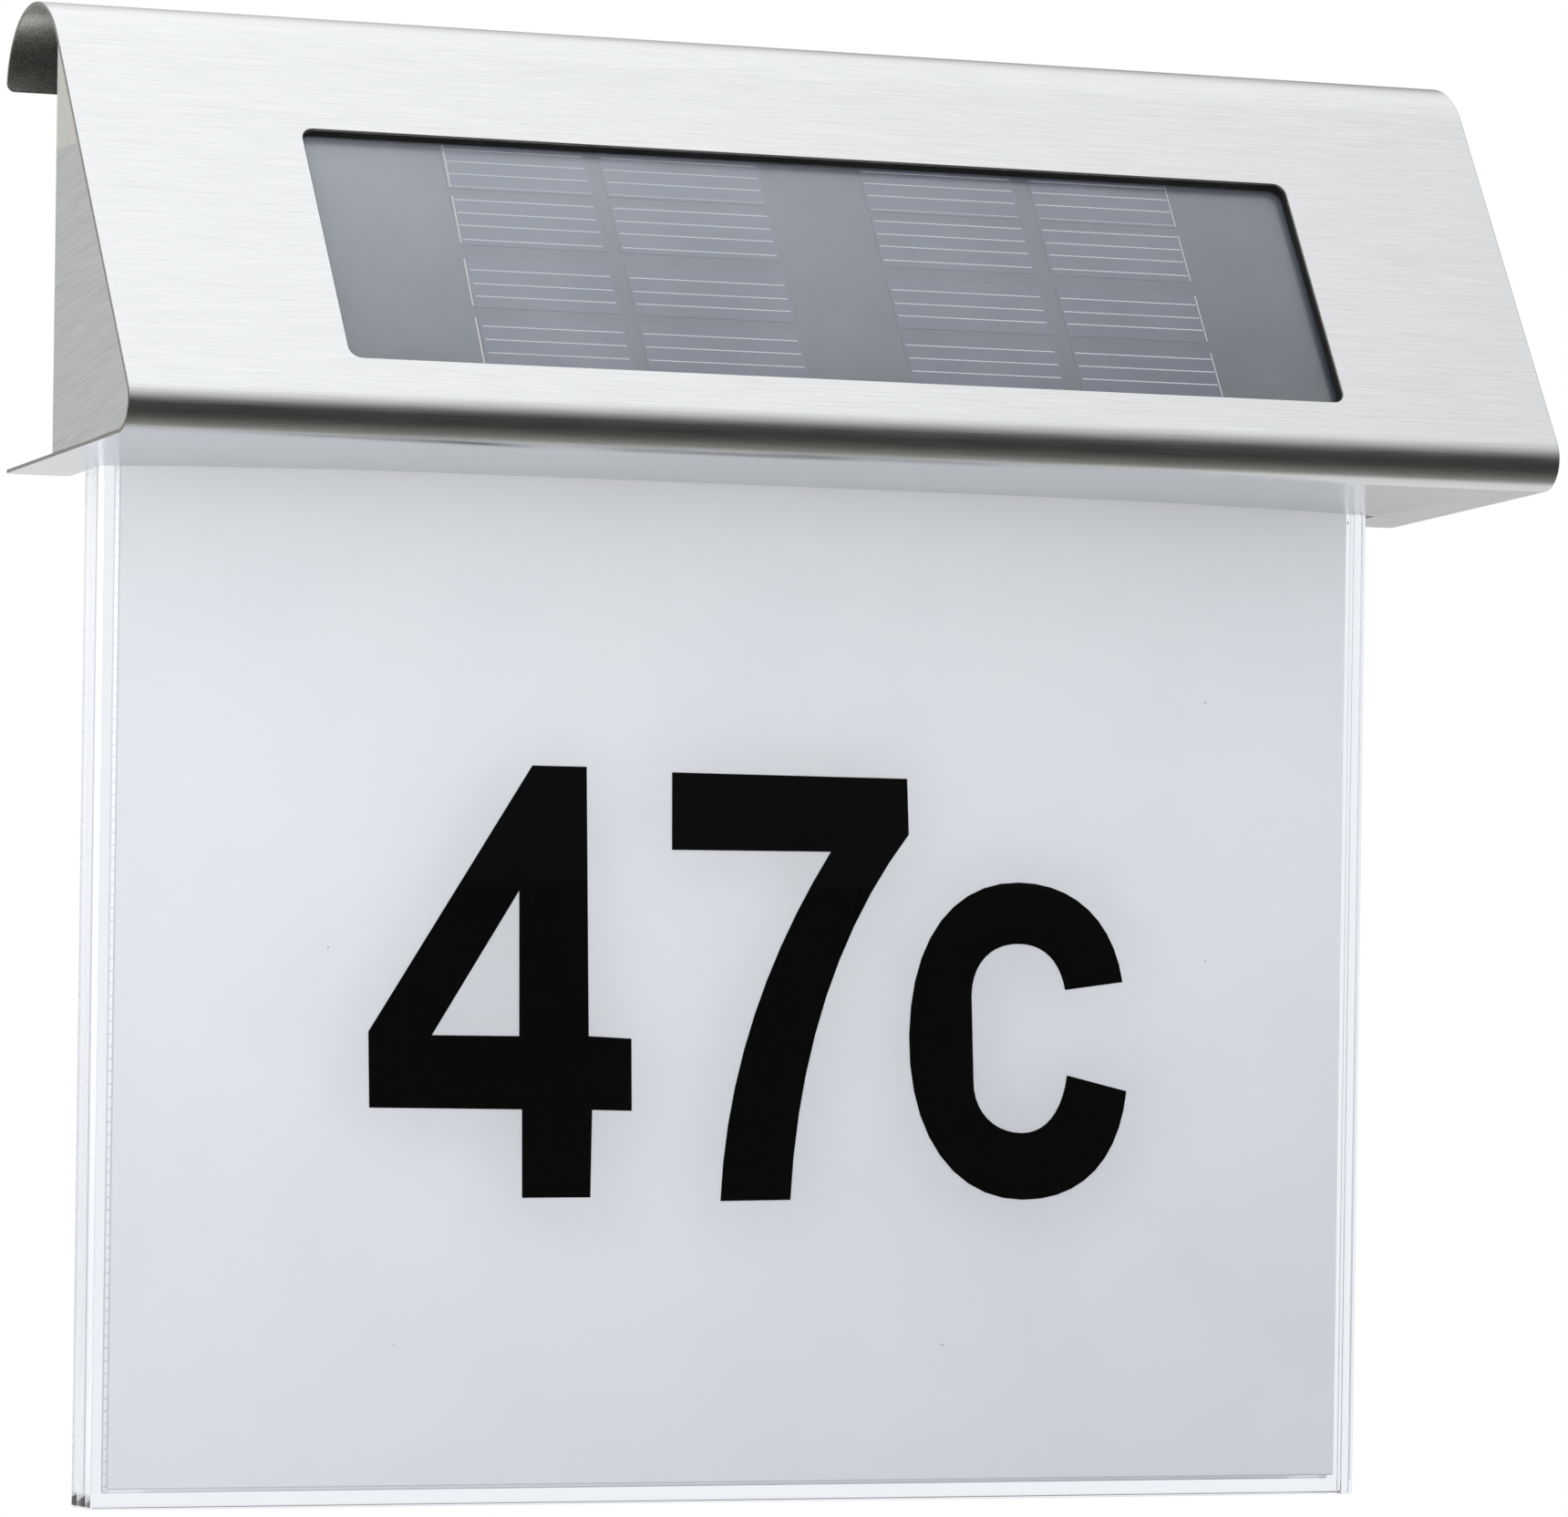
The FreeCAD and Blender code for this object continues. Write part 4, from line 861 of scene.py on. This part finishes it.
def makeLetters():
    def onFace(x, z, depth):
        depth += filmSheet["frontDepth"] - lettering["thickness"] - lettering["gap"]
        return onPanel(x + lettering["aside"], z + lettering["raised"], depth)

    rings = edgeRings(lettering["thickness"], lettering["edge"], 2)
    for name, path in characters.items():
        loops = [curveOutline(path)]
        if name in holesIn:
            loops.append(curveOutline(holesIn[name]))
        for k, loop in enumerate(loops):
            turned = sum(p.x * q.y - q.x * p.y for p, q in zip(loop, loop[1:] + loop[:1]))
            if (turned > 0) != (k == 0):
                loops[k] = loop[::-1]
        addPlate(name, loops, rings, onFace, [finish["vinyl"]], "black_plastic")


makeLetters()
print("panel and characters made")

crossScrew = dict(
    radius=1.4, core=1.12, pitch=1.25, crest=(0.35, 0.5, 0.65), tip=0.9, tipRadius=0.35, neck=0.02, sides=28,
    head=2.6, headChamfer=0.15, headRim=0.12, crownSteps=6, crownShare=0.45, crownTop=0.5,
    recess=1.35, slotHalf=0.42, recessDepth=0.75, recessShare=0.75, recessTaper=0.72, above=0.2,
)


def cutRecess(piece, x, z, top, depth):
    size = crossScrew
    cutter = bmesh.new()
    for wide, tall in ((size["recess"], size["slotHalf"]), (size["slotHalf"], size["recess"])):
        corners = []
        for y, shrink in ((top, 1.0), (top - depth, size["recessTaper"])):
            for sx, sz in ((-1, -1), (1, -1), (1, 1), (-1, 1)):
                spot = Vector((x + sx * wide * shrink, y, z + sz * tall * shrink))
                corners.append(cutter.verts.new(spot / 1000))
        for quad in ((0, 1, 2, 3), (7, 6, 5, 4), (0, 4, 5, 1), (1, 5, 6, 2), (2, 6, 7, 3), (3, 7, 4, 0)):
            cutter.faces.new([corners[v] for v in quad])
    bmesh.ops.recalc_face_normals(cutter, faces=cutter.faces[:])
    mesh = bpy.data.meshes.new("recessCutter")
    cutter.to_mesh(mesh)
    cutter.free()
    cutPiece = addObject("recessCutter", mesh)
    carve = piece.modifiers.new("recess", "BOOLEAN")
    carve.operation = "DIFFERENCE"
    carve.solver = "EXACT"
    carve.use_self = True
    carve.object = cutPiece
    carved = bpy.data.meshes.new_from_object(piece.evaluated_get(bpy.context.evaluated_depsgraph_get()))
    piece.modifiers.clear()
    piece.data = carved
    piece.data.set_sharp_from_angle(angle=math.radians(35))
    bpy.data.objects.remove(cutPiece)


def makeScrew(name, x, z, seat, length, headHeight, body):
    size = crossScrew
    radius, core, pitch, head, rim = pick(size, "radius core pitch head headRim")
    along = size["tip"]
    profile = [(0, 0), (0, size["tipRadius"]), (along, core)]
    while along < length - pitch:
        profile += [(along + pitch * share, r) for share, r in zip(size["crest"], (core, radius, core))]
        along += pitch
    profile += [(length - size["neck"], core), (length, radius), (length, head - size["headChamfer"]),
                (length + rim, head)]
    for step in range(1, size["crownSteps"]):
        a = math.pi / 2 * step / size["crownSteps"]
        share = 1 - size["crownShare"] * (1 - math.cos(a))
        profile.append((length + rim + (headHeight - rim) * math.sin(a), head * share))
    profile += [(length + headHeight, head * size["crownTop"]), (length + headHeight, 0)]
    piece = addTurned("crossScrew." + name, profile, (x, seat - length, z), (0, 1, 0), size["sides"],
                      [finish["zinc"]], "zinc_steel", body=body, stands=[name])
    depth = min(size["recessDepth"], headHeight * size["recessShare"])
    cutRecess(piece, x, z, seat + headHeight + size["above"], depth + size["above"])


def middleOf(node):
    low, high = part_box(node)
    return (Vector(low) + Vector(high)) * 500, Vector(low) * 1000, Vector(high) * 1000


# head height and body of each kind of screw
screwKinds = dict(back_screw=(1.3, "sign"), panel_screw=(1.3, "sign"), door_screw=(0.7, "battery_door"))
for node in sorted(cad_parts):
    kind = node.rsplit("_", 1)[0]
    if kind in screwKinds:
        headHeight, body = screwKinds[kind]
        middle, low, high = middleOf(node)
        seat = high.y - headHeight
        makeScrew(node, middle.x, middle.z, seat, seat - low.y, headHeight, body)
print("screws cut")

cell = dict(radius=7.1, lip=1.1, ring=5.4, nub=2.75, nubLength=1.2, nubRound=0.35, rim=0.5, step=0.1,
            dip=0.15, base=2.0, sides=48)


def makeBattery():
    middle, low, high = middleOf("battery")
    r, lip, nub, top, rim, step, dip = pick(cell, "radius lip nub nubLength rim step dip")
    end = high.x - low.x
    nickel, ring, sleeve = 1, 2, 0           # places in the list of materials
    steps = [                    # distance along, radius, and the material of the band that follows
        (0, 0, nickel), (0, nub - cell["nubRound"], nickel), (cell["nubRound"], nub, nickel),
        (top, nub, ring), (top + dip, cell["ring"], ring), (top + step, r - lip, sleeve),
        (top, r - rim, sleeve), (top + rim, r, sleeve), (end - rim, r, sleeve),
        (end - step, r - rim, sleeve), (end, r - lip, nickel), (end - step, r - lip - step, nickel),
        (end - step, cell["base"], nickel), (end - dip, 0, nickel),
    ]
    profile = [(along, radius) for along, radius, band in steps]
    addTurned("roundCell", profile, (low.x, middle.y, middle.z), (1, 0, 0), cell["sides"],
              pick(finish, "sleeve nickel insulator"), "can_aluminium",
              bands=[band for along, radius, band in steps], stands=["battery"])


makeBattery()

# finishes of the other pieces that show their CAD mesh, by how the name starts: a later one wins
dressed = dict(
    front_housing="blackAbs", housing_back="blackAbs", battery_door="blackAbs", housing_gasket="rubber",
    panel_pad="rubber", led_="phosphor", led_board="board", control_board="board", switch_body="zinc",
    switch_knob="knob", stud_nut="zinc", inductor="ferrite", charge_chip="chip", capacitor="can",
    solar_lead_red="redWire", solar_lead_black="blackWire", contact_="nickel", link_pin="nickel",
)
for start, name in dressed.items():
    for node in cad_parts:
        if node.startswith(start):
            pasteOf(node, finish[name])
print("battery made and small parts dressed")


studio = dict(                   # in metres
    floorHeight=-0.262, floorRadius=1.12, floorColor="#F4F4F3", floorWhite=0.72, skyLight=0.95,
    lamps=dict(keyLamp=((-1.0, -1.7, 1.7), 10.0), fillLamp=((1.6, -1.2, 0.5), 2.0)),     # place and power
    lampSize=1.8, lampAim=(0, 0, -0.08),
    frontStart=0.05, frontEnd=0.78, frontLow=0.07, topLight=1.36, skyline=0.4,
)
# the room that the steel mirrors: the axis that a level follows, where it starts and ends, its value at both
roomLevels = dict(
    shift=(0, 0.35, 0.5, 0.0, 0.12),         # lifts the fold's dark band at the right
    leftWall=(0, -0.2, 0.2, 0.66, 1.0),
    rightWall=(0, 0.32, 0.46, 1.0, 0.06),
    rise=(2, 0.02, 0.08, 0.0, 1.0),
    ahead=(0, 0.15, 0.3, 0.0, 1.0),
    upper=(2, 0.3, 0.75, 0.0, 1.0),
    turned=(1, -0.1, 0.1, 0.0, 1.0),
    sideways=(0, 0.3, 0.52, 1.0, 0.79),
)


def seenDirectly(add):
    # 1 for rays from the camera and for those that pass clear pieces, which show the white background too
    rays = add("LightPath")
    return rays, add("Math MAXIMUM", {}, (rays.outputs["Is Camera Ray"], rays.outputs["Is Transmission Ray"]))


def makeWorld():
    world = bpy.data.worlds.new("studio")
    bpy.context.scene.world = world
    add = emptied(world)
    rays, seen = seenDirectly(add)
    way = add("SeparateXYZ", {}, [add("TexCoord").outputs["Generated"]])
    white = (1, 1, 1, 1)
    ambient = add("Background", {"Color": white, "Strength": studio["skyLight"]})
    backdrop = add("Background", {"Color": white, "Strength": 1.0})
    part = {name: add("MapRange", {1: start, 2: end, 3: first, 4: last}, [way.outputs[axis]])
            for name, (axis, start, end, first, last) in roomLevels.items()}
    # in front: dark towards eye level, soft white above
    lower = add("Math SUBTRACT", {}, (way.outputs[2], part["shift"]))
    front = add("MapRange", {1: studio["frontStart"], 2: studio["frontEnd"], 3: studio["frontLow"],
                                       4: studio["topLight"]}, [lower])
    # behind: grey walls, and a darker skyline that draws the thin grey line along the crown
    walls = add("Math MULTIPLY", {}, (part["leftWall"], part["rightWall"]))
    both = add("Math MULTIPLY", {}, (part["rise"], part["ahead"]))
    line = add("MapRange", {3: 1.0, 4: studio["skyline"]}, [both])
    walls = add("Math MULTIPLY", {}, (walls, line))
    back = add("Mix", {3: studio["topLight"]}, {0: part["upper"], 2: walls})
    level = add("Mix", {}, {0: part["turned"], 2: front, 3: back})
    shade = add("Math MULTIPLY", {}, (level, part["sideways"]))
    mirrored = add("Background", {"Color": white}, {"Strength": shade})
    lit = add("MixShader", {}, (rays.outputs["Is Glossy Ray"], ambient, mirrored))
    final = add("MixShader", {}, (seen, lit, backdrop))
    add("OutputWorld", {}, {"Surface": final})


def makeFloor():
    mesh = bpy.data.meshes.new("floor")
    bm = bmesh.new()
    bmesh.ops.create_circle(bm, cap_ends=True, segments=96, radius=studio["floorRadius"])
    bmesh.ops.translate(bm, vec=(0, 0, studio["floorHeight"]), verts=bm.verts[:])
    bm.to_mesh(mesh)
    bm.free()
    floor = addObject("floor", mesh)
    # painted board: matt, and nearly white where it is seen, so that it runs into the background
    look = dict(label="painted floor, matt", color=studio["floorColor"], roughness=0.9)
    material, add, shader, place = newMaterial(look)
    seen = seenDirectly(add)[1]
    part = add("MapRange", {3: 0.0, 4: studio["floorWhite"]}, [seen])
    glow = add("Emission", {"Color": (1, 1, 1, 1), "Strength": 1.0})
    final = add("MixShader", {}, (part, shader, glow))
    link(final, material.node_tree.nodes["Material Output"], "Surface")
    mesh.materials.append(material)


# seen only in reflections: the dark side of the room that the fold mirrors, in metres
darkCard = dict(
    rows=((-0.022, -0.205), (-0.12, -0.212), (-0.3, -0.22), (-0.8, -0.2), (-1.5, -0.14), (-2.6, -0.06)),
    half=3.0, color="#FFF8EC", fadeStart=-0.3, fadeEnd=-0.02, fadeShape=2.2, far=0.04, near=0.36,
)


def makeDarkCard():
    rows, half = pick(darkCard, "rows half")
    mesh = bpy.data.meshes.new("darkCard")
    points = [(x, y, z) for y, z in rows for x in (-half, half)]
    mesh.from_pydata(points, [], [(2 * k, 2 * k + 1, 2 * k + 3, 2 * k + 2) for k in range(len(rows) - 1)])
    card = addObject("darkCard", mesh)
    # felt, dyed: so dark that only its near edge shows
    material = bpy.data.materials.new("felt card, dark")
    add = emptied(material)
    along = add("SeparateXYZ", {}, [add("TexCoord").outputs["Object"]])
    near = add("MapRange", {1: darkCard["fadeStart"], 2: darkCard["fadeEnd"]}, [along.outputs[1]])
    curve = add("Math POWER", {1: darkCard["fadeShape"]}, [near])
    level = add("MapRange", {3: darkCard["far"], 4: darkCard["near"]}, [curve])
    glow = add("Emission", {"Color": linear(darkCard["color"])}, {"Strength": level})
    add("OutputMaterial", {}, {"Surface": glow})
    mesh.materials.append(material)
    for kind in ("camera", "diffuse", "transmission", "shadow"):
        setattr(card, "visible_" + kind, False)


def makeLamp(name, place, power):
    data = bpy.data.lights.new(name, "AREA")
    data.shape = "SQUARE"
    data.size = studio["lampSize"]
    data.energy = power
    lamp = addObject(name, data)
    lamp.location = place
    lamp.rotation_mode = "QUATERNION"
    lamp.rotation_quaternion = (Vector(studio["lampAim"]) - Vector(place)).to_track_quat("-Z", "Y")
    lamp.visible_glossy = False


makeWorld()
makeFloor()
makeDarkCard()
for name, (place, power) in studio["lamps"].items():
    makeLamp(name, place, power)
print("studio lit")
